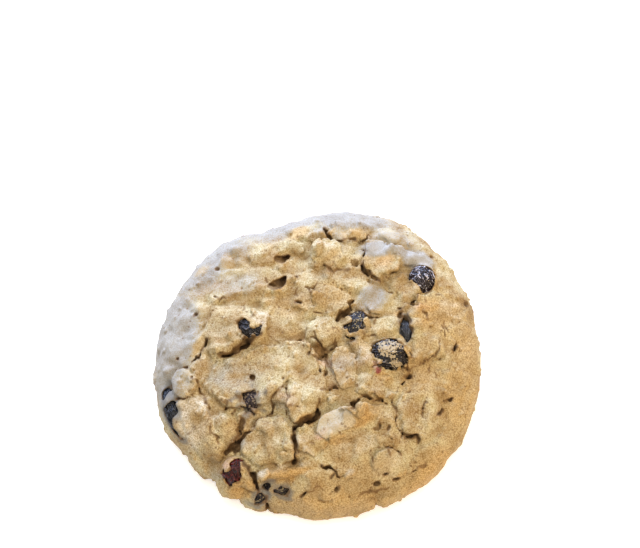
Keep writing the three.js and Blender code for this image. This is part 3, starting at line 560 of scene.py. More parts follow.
# Cracks and crevices: a row of width and depth in mm, then the points they pass through, seen from above.
cracks = {
    "underLeftBlock": "1.25 2.4, -23.6 -2.3, -21.3 -1.7, -19.5 -1.1, -17.7 -0.4, -15.7 0.9, -14.1 1.9",
    "leftFlakeEdge": "0.4 1.5, -26.1 1.8, -27.9 1.2, -28.9 -0.8, -29.9 -2.3, -30.6 -3.6",
    "leftRidgeTop": "0.3 1.2, -30.3 -6.9, -29 -8.4, -28.5 -10.5, -27.4 -12.2, -26.3 -13.8, -25.5 -15.4",
    "underBroad": "0.36 1.4, -7.4 -7.9, -8.4 -9.2, -8.9 -10.8, -9.6 -12.3, -10.6 -13.4, -11 -15.4, "
        "-13.4 -17.4, -14.7 -18.4",
    "centreLeft": "0.32 1.2, -7.6 -9.2, -8 -11.3, -7.3 -13.4, -7.4 -15.2, -7.3 -16.7, -6.5 -18.5",
    "underBump": "1.1 2, -22.6 -25.7, -20.1 -24.8, -18.3 -23.4, -17.2 -21.9",
    "lowLeftTop": "0.44 1.6, -17.4 -22.6, -16.2 -21, -15.2 -18.8, -13.3 -17.7, -11.4 -17.1",
    "underCentre": "1 2.6, -0.5 -12.9, -0.7 -15.6, -1.1 -17.1, -2.4 -18.4, -3.9 -19.1, -5.7 -19.9",
    "lowLeftSide": "0.7 1.8, -5.7 -19.9, -6.3 -22, -6.1 -24.2, -5.8 -26.2, -5.7 -28",
    "leftOfOval": "0.44 1.6, 1.7 -1.2, 1.3 -3.3, 1.1 -5.5, 0.2 -6.9, 1.1 -9.2, 1.8 -10.3, 3.2 -10.4, "
        "4.2 -10.8",
    "flakeArc": "0.32 1, -7.6 -1.2, -5.9 0.2, -4.3 0.5, -2.7 -0.6, -1.7 -2.8, -1 -5, -0.4 -6.6",
    "middleRound": "0.34 1.3, 4.5 2.7, 3.9 1.1, 3.3 -0.6, 2 -1.2, 1 -0.7, -0.6 0.5, -2.4 1.7",
    "crustShelf": "0.55 2.2, 8.8 -13.2, 9.2 -12.6, 10.2 -13.1, 11.5 -13.1, 12.8 -13.4, 14.1 -13.3, "
        "15.8 -14.5",
    "rightArc": "0.19 0.9, 18.8 -9.4, 18.5 -11, 17.4 -12.6, 16.9 -14, 17.4 -15.5, 17.5 -17.5, 18.1 -19.1, "
        "19.6 -20.5, 20.4 -21.2",
    "hookRight": "0.34 1.1, 22.9 -21.5, 23.7 -21.9, 23.9 -22.3, 23.4 -23.1",
    "roundOatArc": "0.36 1.2, 11.3 -27.8, 11.1 -25.9, 12.1 -24.7, 14.2 -24.1, 16.5 -24.2, 17.7 -24.7, "
        "18.5 -25.7",
    "frontOatArc": "0.24 0.9, -0.1 -28.2, 1.2 -28.7, 2.4 -29.4, 3.4 -30.3, 3.9 -30.9",
    "frontLine": "0.36 1.1, -4.8 -35, -3.4 -34.1, -1.9 -33.8, 0.2 -33.7",
    "comma": "0.7 1.5, 33.6 2, 33.3 0.8, 32.2 0",
    "rightSlit": "0.7 1.6, 30 -13.4, 30.9 -12.4, 31.9 -11.9",
    "rightSlitLow": "0.6 1.4, 27.4 -16.3, 28.7 -14.9",
    "squiggle": "0.34 1.1, 25.2 -13.8, 23.6 -14.9, 24.4 -15.9, 24.2 -16.9",
    "besideBrown": "0.34 1.6, 9.7 25.2, 10.3 23.4, 9.6 21.1",
    "besideBrownLow": "0.7 2.2, 9.7 21.3, 9.7 19.9, 10.7 19, 12.1 18.4",
    "underCap": "0.5 1.6, 11.9 18.6, 12.7 17.3, 14.4 16.4",
    "aboveRaisin": "1.1 2.6, 3.6 6.1, 4.7 7.4, 6.3 8.5, 7.6 9.3",
    "besideGrey": "0.42 1.6, 7.3 8.9, 7.2 11.2, 7.9 13",
    "raggedRight": "0.42 1.6, 18.5 9.7, 19.9 10.1, 22 10, 22.2 11.4, 23.2 11.7, 22.9 13.2, 24.6 13.3, "
        "25.7 13.7, 27.6 15.2",
    "creviceTop": "0.9 1.5, 19.4 9.9, 19.8 7.8, 20 5.6",
    "leftArc": "0.26 0.7, -25.8 12.6, -25.1 11.7, -24 11.4, -23 12.2",
    "topSlit": "0.95 1.9, 1.6 31.3, 2.8 29.6, 4 27.7",
    "topLedge": "0.24 0.9, 4 27.1, 6.4 27.8, 8.1 27.7, 10 27.4, 11.3 28.3, 13.2 29.7",
    "rimTopRight": "0.36 1.1, 15.8 27.1, 16.6 26.2, 17.9 26.1, 19.9 27",
    "rightFaint": "0.22 0.6, 20.9 -5.6, 22.3 -5.3, 23.4 -4.7, 24.7 -4.3, 25.6 -3.2, 27.7 -2.2, 28.3 -0.5, "
        "28.4 1.2, 29.2 2.7",
    "rightForks": "0.32 0.9, 27.8 -5.9, 28.2 -6.9, 28.8 -7.6",
    "raisinTail": "0.42 1.4, 9.8 8.5, 11.8 7.9, 14.2 6.4",
    "crustGap": "1.1 3, 20.6 -4, 21.3 -5.5, 21.1 -7.2, 20.2 -8.7, 19.3 -9.3",
    "redGap": "1 2.4, -17.5 -28.8, -16.2 -29.3, -15.4 -30.7, -14.9 -32.1, -14.4 -33.6, -13.6 -34.9, "
        "-12.6 -36.2",
    "lowRightRim": "0.26 0.8, 20.4 -27.8, 21.8 -28.4, 23.6 -27.8, 25 -27.4",
    "leftPaleTop": "0.36 1.1, -33.8 -5.7, -32.7 -5.3, -31.5 -4.8",
    "leftRidgeEnd": "0.42 1.2, -34 -11.8, -33.2 -12, -31.9 -12.1, -30.8 -11.9",
    "flakeUnder": "0.32 1, 4.5 -21.6, 5 -22.4, 6 -22.1",
    "greyEdge": "0.3 0.8, 15.7 16.1, 16.5 15.2, 17.3 14.1",
    "overKnob": "0.36 1.1, 0.6 20.3, 2.4 19.4, 5 19.2, 6.4 19.8",
    "bumpRight": "0.4 1.2, -20.9 -24.3, -18.8 -22.6, -18.5 -18.9, -20.5 -15.7",
    "bumpLeft": "0.24 0.7, -25.2 -16.7, -25.6 -20.7, -23.7 -23.9",
    "softLedge": "0.2 0.3, 8.1 -36, 9.1 -34.7, 11.7 -33.7, 14.8 -33.3, 17.7 -32.3",
    "upperJoin": "0.2 0.5, -3.4 15.6, -2 14.9, -1.2 15.2, -1.4 13.2",
}
crackShape = {
    "step": 0.7, "stray": 0.3, "uneven": (0.65, 1.3), "ends": 0.4, "crumble": 0.16, "opens": 1.5, "lips": 0.1,
    "dark": (-0.26, 0.12), "shaded": 1.6, "room": 1.6, "seed": 91,
}
shortCracks = {
    "count": 90, "seed": 97, "spotSeed": 96, "long": (1.4, 4.0), "width": (0.12, 0.26), "depth": (0.4, 0.8),
    "furthest": 0.93, "steepest": 0.55, "flourSheen": 0.2, "wander": 0.35, "turns": 3,
}


def crookedPath(points, random):
    # the same path in short steps that stray to either side
    points = np.array(points, float)
    lengths = np.r_[0, np.cumsum(np.linalg.norm(np.diff(points, axis=0), axis=1))]
    steps = np.linspace(0, lengths[-1], max(3, int(lengths[-1] / crackShape["step"])))
    path = np.stack([np.interp(steps, lengths, points[:, i]) for i in range(2)], 1)
    path[1:-1] += random.normal(0, crackShape["stray"], (len(path) - 2, 2))
    return path, steps / lengths[-1]


def cutCrack(width, depth, points, random):
    path, shares = crookedPath(points, random)
    lowest = min(domeSpot(*spot)[0].z for spot in path)
    box = boxOver(path, crackShape["room"], lowest - depth - crackShape["room"] / 2)
    x, y = warped[0][box], warped[1][box]
    # half width at each turn: uneven, and tapering to both ends
    taper = crackShape["ends"] + (1 - crackShape["ends"]) * np.sin(math.pi * (0.08 + 0.84 * shares))
    halves = width / 2 * random.uniform(*crackShape["uneven"], len(path)) * taper
    nearest = np.full(x.shape, np.inf, np.float32)
    for (ax, ay), step, half, change in zip(path, np.diff(path, axis=0), halves, np.diff(halves)):
        px, py = x - ax, y - ay
        t = np.clip((px * step[0] + py * step[1]) / (step @ step), 0, 1)
        nearest = np.minimum(nearest, np.hypot(px - t * step[0], py - t * step[1]) - half - t * change)
    wall = nearest + min(crackShape["crumble"], width / 4) * (jagged[box] + 0.6 * speckle[box])
    wall += width / 2 * np.clip(-field[box] / depth, 0, 3) ** crackShape["opens"]
    # painted shade: narrow ones are dark from the lips on, wide ones only deep down
    shade = np.clip(1.5 * width - 1, 0, 0.25)
    shade = 1 - shade + shade * np.clip(-field[box] / crackShape["shaded"], 0, 1)
    strength = min(1, 0.55 + 0.45 * width) * shade
    mark("crack", box, strength * easeStep(-wall, *crackShape["dark"]))
    cutFrom(box, wall, min(crackShape["lips"], width / 4))


random = np.random.default_rng(crackShape["seed"])
for crack in cracks.values():
    (width, depth), *points = rows(crack)
    cutCrack(width, depth, points, random)
random = np.random.default_rng(shortCracks["seed"])
for spot, out in skinSpots(shortCracks["count"], shortCracks["spotSeed"], shortCracks["furthest"]):
    if out.z < shortCracks["steepest"] or stainAt("flourAndSheen", np.array([spot]))[0] > shortCracks["flourSheen"]:
        continue
    way, turn = random.uniform(0, 2 * math.pi), random.normal(0, shortCracks["wander"])
    path = [np.array(spot[:2])]
    for i in range(shortCracks["turns"]):
        way += turn
        step = random.uniform(*shortCracks["long"]) / shortCracks["turns"]
        path.append(path[-1] + step * np.array([math.cos(way), math.sin(way)]))
    cutCrack(random.uniform(*shortCracks["width"]), random.uniform(*shortCracks["depth"]), path, random)
print("cracks:", len(cracks), "and up to", shortCracks["count"], "short ones")

# Air holes and lost crumbs, seen from above: a row of depth and which way it is deepest, then the corners.
hollows = {
    "pairUpper": "2.8 60, -11.6 23.5, -10.4 24.1, -8 24.3, -8 23.5, -9.2 22.1, -10.1 21.8, -11.6 22.6",
    "pairLower": "2.8 30, -13.2 16.1, -11.9 16.8, -10.6 18.1, -9 19.3, -8.5 17.5, -9.9 15.5, -11.3 14.5, "
        "-12.9 15",
    "brownHollow": "0.8 240, 7 23.2, 8.2 23.4, 9 21.6, 8.6 20.4, 6.8 21.2",
    "middleHollow": "0.9 300, -8.6 1, -4.6 4.2, -3.4 5, -3.6 2.2, -5 0.2",
    "underMiddle": "1 300, -2.7 0.3, -0.6 0, 1 -0.6, 1.5 -1.8, 1 -3.2, -0.6 -4, -1.7 -1.9",
}
# The same as round holes: x, y, half length, half width, turn, depth.
dots = rows(
    "-5.2 11.5 0.75 0.5 160 1.6, -15.4 -8 0.6 0.85 10 1.6, -30.6 8.4 0.4 0.32 0 0.8, "
    "-25.5 20.7 0.45 0.35 0 0.9, -33.8 -2.3 0.6 0.45 20 1.1, 21.5 -21.4 1.5 0.5 12 1.8, "
    "8 -14.3 0.85 0.5 0 2, 3.4 -33.2 0.7 0.5 30 1.1, 2.2 -33.6 0.7 0.28 20 0.7, 13 -32.1 0.7 0.5 20 1.1, "
    "17.6 -31.2 1.1 0.55 28 1.4, -5.5 -27.6 0.9 0.8 40 2, 27.8 24.5 0.5 0.4 0 0.8, 0.6 -2.5 0.42 0.35 0 0.9, "
    "-6 18.3 0.6 0.28 160 0.7, -10.5 8.6 0.5 0.26 60 0.6, 36.4 13.4 0.6 0.35 40 0.8, "
    "29.2 -24.3 0.5 0.3 50 0.8, 15.4 -19.5 0.4 0.5 0 0.7, 14.8 -29.9 0.5 0.3 0 0.7"
)


hollowShape = {
    "crumble": 0.12, "corner": 0.8, "dark": (-0.3, 0.05), "lips": 0.2, "dotLips": 0.18, "dotDark": 0.65,
}


def cutHollow(edge, depth, box, strength, lips):
    # goes in from the skin that is there now, down to that depth
    wall = overlap(edge + hollowShape["crumble"] * jagged[box], -field[box] - depth, hollowShape["corner"])
    # painted shade: the hole is darkened inside
    mark("crack", box, strength * easeStep(-wall, *hollowShape["dark"]))
    cutFrom(box, wall, lips)


for hollow in hollows.values():
    (depth, deepTowards), *points = rows(hollow)
    box = boxOver(points, 1.5, 6.0)
    x, y = warped[0][box], warped[1][box]
    there, least, most = reachTowards(deepTowards, x, y, points)
    share = np.clip((there - least) / (most - least), 0.15, 1)
    # deeper holes, and their deepest side, get more painted shade
    dark = min(1, depth / 2) * (0.5 + 0.5 * share)
    cutHollow(outlineDistance(x, y, points), depth * share, box, dark, hollowShape["lips"])
for x, y, long, wide, turn, depth in dots:
    point, out = domeSpot(x, y)
    box = boxAround(point + out * 1.5, max(long, wide) + 3.5)
    u, v, _ = inAxes(box, point, turnedAxes(out, turn))
    edge = (np.hypot(u / long, v / wide) - 1) * wide
    cutHollow(edge, depth, box, hollowShape["dotDark"], hollowShape["dotLips"])
print("holes:", len(hollows) + len(dots))

# Raisins: place, sink of the middle from the dome, half sizes, turn, a seed for the folds, and how much dough
# is stuck to the skin. A film of dough covers each, and it shows through windows in that film: outlines in mm
# about its middle, east and north. Then how ragged their edges are, how far in mm and how strongly the fruit
# darkens the dough round them, and outlines of dough baked onto the skin.
raisins = {
    "raisin_right_rim": {
        "place": {"x": 25, "y": 17.6}, "sink": 0.2, "half": (3.7, 3.3, 2.7), "turn": 78, "seed": 1,
        "ridges": 132, "crumbs": 0.12, "ragged": 0.12, "haze": (1, 0.2),
        "windows": ["-3.7 2.1, -3.1 3.1, -1.9 3.4, -0.7 3.2, 0.9 2.8, 1.9 2.1, 2.7 0.9, 2.7 -0.6, 2.1 -2.3, "
            "1.2 -3.6, 0 -4.3, -0.8 -4, -1 -3.2, -2 -2.6, -3.2 -1.4, -3.9 -0.6, -3.9 0.8"],
    },
    "raisin_middle": {
        "place": {"x": 8.7, "y": 4.7}, "sink": -0.7, "half": (3.9, 3, 2.6), "turn": 62, "seed": 2,
        "crumbs": 0.42, "ragged": 0.35, "haze": (1.2, 0.5),
        "windows": ["-1.9 3, -1.1 3.5, -0.4 3.9, 1 3.9, 1.5 3.4, 2.2 3.2, 3.1 2.8, 4.1 2.1, 4.9 1.3, "
            "3.9 1.4, 2.9 1.7, 2.2 1.9, 1.8 1.3, 2 0.3, 2 -0.8, 1.5 -1.5, 0.7 -1.7, 0 -2.1, -0.7 -2.3, "
            "-1.1 -3, -1.1 -3.7, -1.8 -3.9, -2.2 -3.3, -3.3 -2.9, -2.8 -2.2, -2.2 -1.6, -2.5 -1.1, "
            "-3.4 -0.7, -3.8 -0.1, -3.1 0, -2.2 -0.3, -1.6 0.5, -1.2 1.4, -1.2 2.1, -1.8 2.5"],
    },
    "raisin_crevice": {
        "place": {"x": 20.6, "y": 4.2}, "sink": -1.5, "half": (2.9, 1.8, 1.9), "turn": 96, "seed": 3,
        "crumbs": 0.1, "ragged": 0.2, "haze": (1.6, 0.8),
        "windows": ["-2 1.7, -1.2 2.2, -0.8 3.4, -0.1 3.5, 0.3 2.6, 0.8 1.8, 0.9 0.7, 1.1 -0.3, 1.4 -1.2, "
            "1.1 -2.4, 0.4 -3.6, -0.2 -3.2, -0.7 -2.4, -1.6 -1.6, -2 -0.5"],
    },
    "raisin_crusted": {
        "place": {"x": 16.6, "y": -2.2}, "sink": -0.3, "half": (4.8, 3.7, 2.8), "turn": 4, "seed": 4,
        "crumbs": 0.35, "ragged": 0.3, "haze": (0.8, 0.3),
        "windows": ["-5 1.8, -4.5 2.4, -3.6 2.8, -2.6 3.3, -1.4 3.7, -0.2 4.1, 0.8 4.1, 1.7 3.7, 2.7 2.9, "
            "3.4 2.2, 3.7 1.3, 3.7 0.6, 4.3 0.4, 5.1 0.2, 5.1 -0.6, 4.1 -1, 3.9 -1.7, 3.9 -2.7, 3.4 -3.3, "
            "2.3 -3.8, 1.3 -4.1, 0.4 -4, -0.3 -3.5, -1.1 -3.4, -1.6 -3.9, -2.3 -3.7, -2.6 -2.6, -2.8 -1.8, "
            "-3.2 -1, -3.9 -0.9, -4.6 -0.5, -4.8 0.2, -4.4 0.9, -5 1.3"],
        "crusts": [
            "-3.2 1.9, -2.4 2.6, -0.7 2.9, 0.8 3.1, 2.2 2.6, 3.1 1.9, 2.2 1.4, 1.3 0.9, 0.7 0.2, 0.9 -0.8, "
            "1.4 -1.5, -0.3 -1.7, -1.5 -1.5, -2.7 -0.9, -3.2 0",
            "-0.4 -2.4, 1.1 -2.1, 2.6 -2.2, 2.9 -2.9, 1.3 -3.4, -0.1 -3.2",
        ],
    },
    "raisin_left": {
        "place": {"x": -16.3, "y": 4}, "sink": -0.2, "half": (3.9, 2.8, 2.3), "turn": 138, "seed": 5,
        "crumbs": 0.2, "ragged": 0.15, "haze": (1, 0.3),
        "windows": ["-3.7 1.6, -3.2 2.1, -2.4 2.4, -1.4 2.2, -0.9 1.7, -0.3 1, -0.2 -0.2, 0.2 -0.1, "
            "0.7 -0.5, 1.4 -0.4, 2.1 0.5, 2.7 1.1, 3.3 1.6, 3 0.7, 2.4 -0.3, 1.9 -1.2, 1.9 -2.2, 1 -2.5, "
            "-0.1 -2.7, -1 -2.5, -1.9 -2.1, -2.7 -1.2, -3.4 -0.2, -3.7 0.7"],
    },
    "raisin_low_left": {
        "place": {"x": -16.1, "y": -13.2}, "sink": -0.5, "half": (2.9, 2, 2), "turn": 102, "seed": 6,
        "crumbs": 0.5, "ragged": 0.8, "haze": (2.4, 0.8),
        "windows": ["-2.2 0, -1.9 0.9, -1.2 1.2, -0.5 1, -0.3 2, 0.2 2.8, 0.9 3, 1.5 2.5, 0.8 1.6, 1.5 0.9, "
            "0.8 0.3, 1.7 -0.5, 1 -1.3, 1.6 -2, 1.3 -3, -0.2 -3.2, -1.4 -3, -2 -2.1, -2.3 -1.2"],
    },
    "raisin_edge": {
        "place": {"side": 203, "height": 10.3}, "sink": -0.9, "half": (6.2, 2.1, 2.2), "turn": 110, "seed": 7,
        "crumbs": 0.12, "ragged": 0.15, "haze": (2.6, 0.9),
        "windows": [
            "-1.6 6.4, -0.8 6.7, -0.6 5.8, -0.8 4.9, -1 3.9, -1.4 2.8, -2.5 2.9, -3.3 3.7, -3.3 4.6, "
            "-2.5 5.3, -2.1 6",
            "0.2 2.7, 1.4 2.6, 2 1.1, 2 0, 1.4 -1.3, 1.1 -2.4, 1.9 -3.8, 2.2 -5, 3 -6.4, 1.7 -5.6, 0.5 -4.7, "
            "-0.3 -3.6, -1 -2.6, -1.6 -1.5, -2.2 -0.7, -2.3 0.3, -1.5 1, -0.6 1.3, -0.1 2.1",
        ],
    },
    "raisin_red": {
        "place": {"side": 236, "height": 11.2}, "sink": 0.1, "half": (3.3, 3, 2.3), "turn": 70, "seed": 8,
        "crumbs": 0.1, "ragged": 0.28, "haze": (0.8, 0.3),
        "windows": ["-0.4 2.9, 0.2 3.6, 1.1 3.5, 1.6 2.6, 1.7 1.4, 1.9 0.5, 1.8 -0.4, 2.1 -1.4, 2.6 -2, "
            "1.8 -2.4, 1 -2.3, 0.3 -2.6, -0.1 -3.2, -1 -3.5, -1.6 -3.3, -1.9 -2.6, -2.1 -1.8, -2.9 -1.6, "
            "-3.9 -1.1, -3.7 -0.6, -2.9 -0.1, -1.9 0.5, -1.1 1, -0.7 2"],
    },
    "raisin_front": {
        "place": {"side": 252.6, "height": 11.2}, "sink": -1.1, "half": (3.2, 1.4, 1.8), "turn": 162, "seed": 9,
        "crumbs": 0.36, "ragged": 0.22, "haze": (2, 0.85),
        "windows": [
            "-3 0.7, -2.4 1.3, -1.6 1.4, -0.9 0.8, -1.3 0, -1.8 -0.7, -2.4 -0.6, -3 0",
            "-0.8 0.5, 0 0.3, 0.7 0.3, 1.4 0.4, 2.1 0.2, 3.1 0.3, 2.9 -0.7, 2.4 -1.4, 1.4 -1.5, 0.4 -1.1, "
            "-0.5 -0.6",
        ],
    },
    "raisin_front_low": {
        "place": {"side": 247, "height": 8.5}, "sink": -0.8, "half": (1.9, 1.5, 1.6), "turn": 30, "seed": 10,
        "crumbs": 0.36, "ragged": 0.22, "haze": (2.2, 0.9),
        "windows": ["0.2 1.5, 0.6 2.5, 1.3 2.2, 2 1.5, 2.6 0.8, 2.1 -0.4, 1.1 -1.1, 0.1 -1.5, -0.9 -1.2, "
            "0.2 -0.4"],
    },
}
pocket = {"clearance": 0.1, "film": 0.45, "blend": 0.6, "lip": 0.12}  # mm


def raisinSeat(raisin):
    point, out = domeSpot(**raisin["place"])
    return point + out * raisin["sink"], turnedAxes(out, raisin["turn"])


def pocketParts(raisin):
    # the raisin's own shape and the windows over it, each as a distance
    point, axes = raisinSeat(raisin)
    box = boxAround(point, max(raisin["half"]) + 4)
    body = roundedBody(*inAxes(box, point, axes, steady=True), raisin["half"])
    u, v, w = inAxes(box, point, turnedAxes(axes[2], 0), steady=True)
    showing = np.minimum.reduce([outlineDistance(u, v, rows(outline)) for outline in raisin["windows"]])
    return box, body, showing + raisin["ragged"] * (0.6 * jagged[box] + 0.8 * speckle[box]), w


for raisin in raisins.values():
    box, body, showing, w = pocketParts(raisin)
    joinTo(box, body - pocket["film"], pocket["blend"])
    reach, strength = raisin["haze"]
    mark("fruit", box, strength * easeStep(-showing - 0.4 * jagged[box], -reach, 0.2) * (w > -2))
for raisin in raisins.values():
    box, body, showing, w = pocketParts(raisin)
    cutFrom(box, np.minimum(body - pocket["clearance"], np.maximum(showing, -w)), pocket["lip"])
    # painted shadow at the edge of each window, where the dough meets the raisin
    mark("crack", box, 0.5 * easeStep(-showing, -0.25, 0.1) * (w > 0))
print("pockets:", len(raisins))

# Grain: bits of broken oat, and pores where steam came out. Sizes in mm.
grain = {
    "bits": 2100, "bit": (0.3, 0.8), "wide": (0.5, 0.9), "thick": 0.42, "sunk": (0.05, 0.3), "blend": 0.25,
    "power": 2.4, "flourSheen": (0.2, 1.2), "spotSeed": 72, "room": 0.8, "seed": 71,
}
pores = {
    "count": 1000, "size": (0.16, 0.32), "lips": 0.15, "flourSheen": 0.4, "spotSeed": 73, "room": 0.8, "dark": 0.5,
}
random = np.random.default_rng(grain["seed"])
for spot, out in skinSpots(grain["bits"], grain["spotSeed"]):
    long = random.uniform(*grain["bit"])
    if stainAt("flourAndSheen", np.array([spot]))[0] > random.uniform(*grain["flourSheen"]):
        continue
    axes = turnedAxes(out, random.uniform(0, 360))
    box = boxAround(spot, long + grain["room"])
    u, v, w = inAxes(box, spot - out * random.uniform(*grain["sunk"]), axes, steady=True)
    sizes = (long, long * random.uniform(*grain["wide"]), grain["thick"])
    joinTo(box, roundedBody(u, v, w, sizes, grain["power"]), grain["blend"])
for spot, out in skinSpots(pores["count"], pores["spotSeed"]):
    if stainAt("flourAndSheen", np.array([spot]))[0] > pores["flourSheen"]:
        continue
    size = random.uniform(*pores["size"])
    box = boxAround(spot, size + pores["room"])
    u, v, w = inAxes(box, spot, turnedAxes(out, 0), steady=True)
    shape = np.sqrt(u * u + v * v + w * w) - size
    # painted shade: each pore is darkened inside
    mark("crack", box, pores["dark"] * easeStep(-shape, -0.15, 0.1))
    cutFrom(box, shape, pores["lips"])
print("grain:", grain["bits"], "bits,", pores["count"], "pores")

# The underside lies flat on the tray, so it is cut level, with only the tray's slight print on it.
underside = {"lift": 0.1, "print": 0.05, "wave": 2.2, "corner": 0.7, "seed": 81}  # mm
level = -grid[2].reshape(1, 1, -1) + underside["lift"]
level = level + underside["print"] * softNoise(underside["wave"], underside["seed"])
field = overlap(field, np.broadcast_to(level, field.shape), underside["corner"]).astype(np.float32)
field[:, :, grid[2] < 0.02] = np.maximum(field[:, :, grid[2] < 0.02], 0.05)


def boxBlur(values, radius):
    for axis in range(3):
        pad = [(radius + 1, radius) if i == axis else (0, 0) for i in range(3)]
        total = np.cumsum(np.pad(values, pad, mode="edge"), axis=axis, dtype=np.float64)
        size = total.shape[axis]
        high = np.take(total, np.arange(2 * radius + 1, size), axis=axis)
        low = np.take(total, np.arange(0, size - 2 * radius - 1), axis=axis)
        values = ((high - low) / (2 * radius + 1)).astype(np.float32)
    return values


# what stands out gets a golden tint, partly toast and partly painted highlight; what lies deep gets painted
# shade
shallow = np.clip(field, -2.5, 2.5)
marks["edge"] = boxBlur(boxBlur(shallow, 2), 2) - shallow
marks["hollow"] = shallow - boxBlur(boxBlur(shallow, 6), 6)
print("relief measured")


def sampleAt(values, points):
    # values of the grid at any points, blended between the eight nearest
    steps = [(points[:, i] - grid[i][0]) / doughGrid["voxel"] for i in range(3)]
    steps = [np.clip(step, 0, len(axis) - 1.001) for step, axis in zip(steps, grid)]
    cells = [s.astype(int) for s in steps]
    rest = [s - c for s, c in zip(steps, cells)]
    total = 0
    for corner in np.ndindex(2, 2, 2):
        weight = 1
        for i in range(3):
            weight = weight * (rest[i] if corner[i] else 1 - rest[i])
        total = total + weight * values[tuple(c + k for c, k in zip(cells, corner))]
    return total


def giveMarks(piece, values):
    for name, value in values.items():
        attribute = piece.data.attributes.new(name, "FLOAT", "POINT")
        attribute.data.foreach_set("value", np.asarray(value, np.float32))


def largestSkin(count, faces):
    # which points belong to the largest joined skin, so that no loose crumb or closed bubble stays
    label = np.arange(count)
    ends = [(faces[:, i], faces[:, i - 1]) for i in range(faces.shape[1])]
    one, other = (np.concatenate([pair[k] for pair in ends]) for k in (0, 1))
    while True:
        lowest = np.minimum(label[one], label[other])
        after = label.copy()
        np.minimum.at(after, one, lowest)
        np.minimum.at(after, other, lowest)
        after = after[after]
        if np.array_equal(after, label):
            break
        label = after
    names, sizes = np.unique(label, return_counts=True)
    return label == names[sizes.argmax()]


volume = openvdb.FloatGrid(background=3.0)
volume.copyFromArray(np.ascontiguousarray(field))
points, _, quads = volume.convertToPolygons(isovalue=0.0, adaptivity=0.0)
quads = quads[:, ::-1].astype(int)
kept = largestSkin(len(points), quads)
quads = (np.cumsum(kept) - 1)[quads[kept[quads[:, 0]]]]
corner = np.array([axis[0] for axis in grid]) + np.array(dome["middle"])
points = (points[kept] * doughGrid["voxel"] + corner) * mm
doughMesh = bpy.data.meshes.new("baked_dough")
doughMesh.from_pydata(points.tolist(), [], quads.tolist())
doughPiece = bpy.data.objects.new("baked_dough", doughMesh)
bpy.context.scene.collection.objects.link(doughPiece)
thin = doughPiece.modifiers.new("thin", "DECIMATE")
thin.ratio = min(1.0, doughSkin["faces"] / (2 * len(quads)))
thin.use_collapse_triangulate = True
graph = bpy.context.evaluated_depsgraph_get()
thinned = bpy.data.meshes.new_from_object(doughPiece.evaluated_get(graph))
doughPiece.modifiers.clear()
doughPiece.data = thinned
thinned.shade_smooth()
corners = np.zeros(len(thinned.vertices) * 3, np.float32)
thinned.vertices.foreach_get("co", corners)
spots = corners.reshape(-1, 3) / mm - np.array(dome["middle"])
giveMarks(doughPiece, {name: sampleAt(values, spots) for name, values in marks.items()})
wandered = np.stack([sampleAt(values, spots) for values in warped], 1)
stained = {name: stainAt(name, wandered) for name in stains}
stained["flourAndSheen"] *= easeStep(wandered[:, 2], 2.5, 7.0)  # the flour and its painted cool sheen fade out low on the wall, between 7 and 2.5 mm up
giveMarks(doughPiece, stained)
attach(doughPiece, "root")
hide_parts("dough")
print("dough mesh:", len(thinned.polygons), "faces from", len(quads))

# Raisin skin: puffed flesh that has dried and fallen into ridges and valleys, as shares of its half sizes.
raisinSkin = {
    "detail": 6, "swell": 0.93, "ridge": 0.11, "small": 0.06, "sag": 0.06, "crumb": 0.04, "bend": 0.42,
    # how many folds and creases there are along each axis, how wide they are, and how sharp the folds
    "folds": (0.8, 5.0, 2.6), "creases": (2.0, 12.0, 6.0), "foldWidth": 0.17, "creaseWidth": 0.22,
    "sharp": 1.3, "bends": 1.3, "sags": 1.5, "crumbs": 3.2, "crumbSpread": 0.3, "crust": 0.9, "seed": 5,
}


def makeRaisin(name, raisin):
    point, axes = raisinSeat(raisin)
    bpy.ops.mesh.primitive_ico_sphere_add(subdivisions=raisinSkin["detail"], radius=1)
    piece = bpy.context.active_object
    piece.name = "dried_" + name
    shift = Vector((raisin["seed"] * 7.3, raisin["seed"] * 3.1, 0))
    # how much dough is baked on: everywhere a little, and nearly all within the crusts
    units = np.array([vertex.co for vertex in piece.data.vertices]) * np.array(raisin["half"])
    level = turnedAxes(axes[2], 0)
    u, v = (units @ np.array([axis.dot(level[i]) for axis in axes]) for i in (0, 1))
    crusted = np.full(len(units), raisin["crumbs"])
    for outline in raisin.get("crusts", []):
        within = easeStep(-outlineDistance(u, v, rows(outline)), -0.5, 0.3)
        crusted = np.maximum(crusted, raisinSkin["crust"] * within * (units[:, 2] > 0))
    look = raisinSkin
    slanted = Matrix.Rotation(math.radians(raisin["turn"] - raisin.get("ridges", raisin["turn"])), 3, "Z")
    valleys, crumbs = [], []
    for vertex, baked in zip(piece.data.vertices, crusted):
        q = vertex.co.copy()
        bent = q + look["bend"] * noise.noise_vector(q * look["bends"] + shift)
        bent.rotate(slanted)
        folds = noise.noise(Vector([a * b for a, b in zip(bent, look["folds"])]) + shift)
        creases = noise.noise(Vector([a * b for a, b in zip(bent, look["creases"])]) + shift * 2)
        ridge = max(0, 1 - abs(folds) / look["foldWidth"]) ** look["sharp"]
        small = max(0, 1 - abs(creases) / look["creaseWidth"])
        sag = noise.noise(q * look["sags"] - shift)
        crumb = baked + look["crumbSpread"] * noise.noise(q * look["crumbs"] + shift * 3)
        crumb = min(1, max(0, crumb))
        swell = look["swell"] + look["ridge"] * ridge + look["small"] * small
        swell += look["sag"] * sag + look["crumb"] * crumb
        local = [q[i] * raisin["half"][i] * swell for i in range(3)]
        vertex.co = sum((axes[i] * local[i] for i in range(3)), point + Vector(dome["middle"])) * mm
        valleys.append(1 - max(ridge, 0.7 * small))
        crumbs.append(crumb)
    giveMarks(piece, {"valley": valleys, "crumbs": crumbs})
    piece.data.shade_smooth()
    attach(piece, "root")
    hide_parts(name)
    return piece


noise.seed_set(raisinSkin["seed"])  # so that the folds bend the same way in each run
raisinPieces = {name: makeRaisin(name, raisin) for name, raisin in raisins.items()}
print("raisins:", len(raisinPieces))


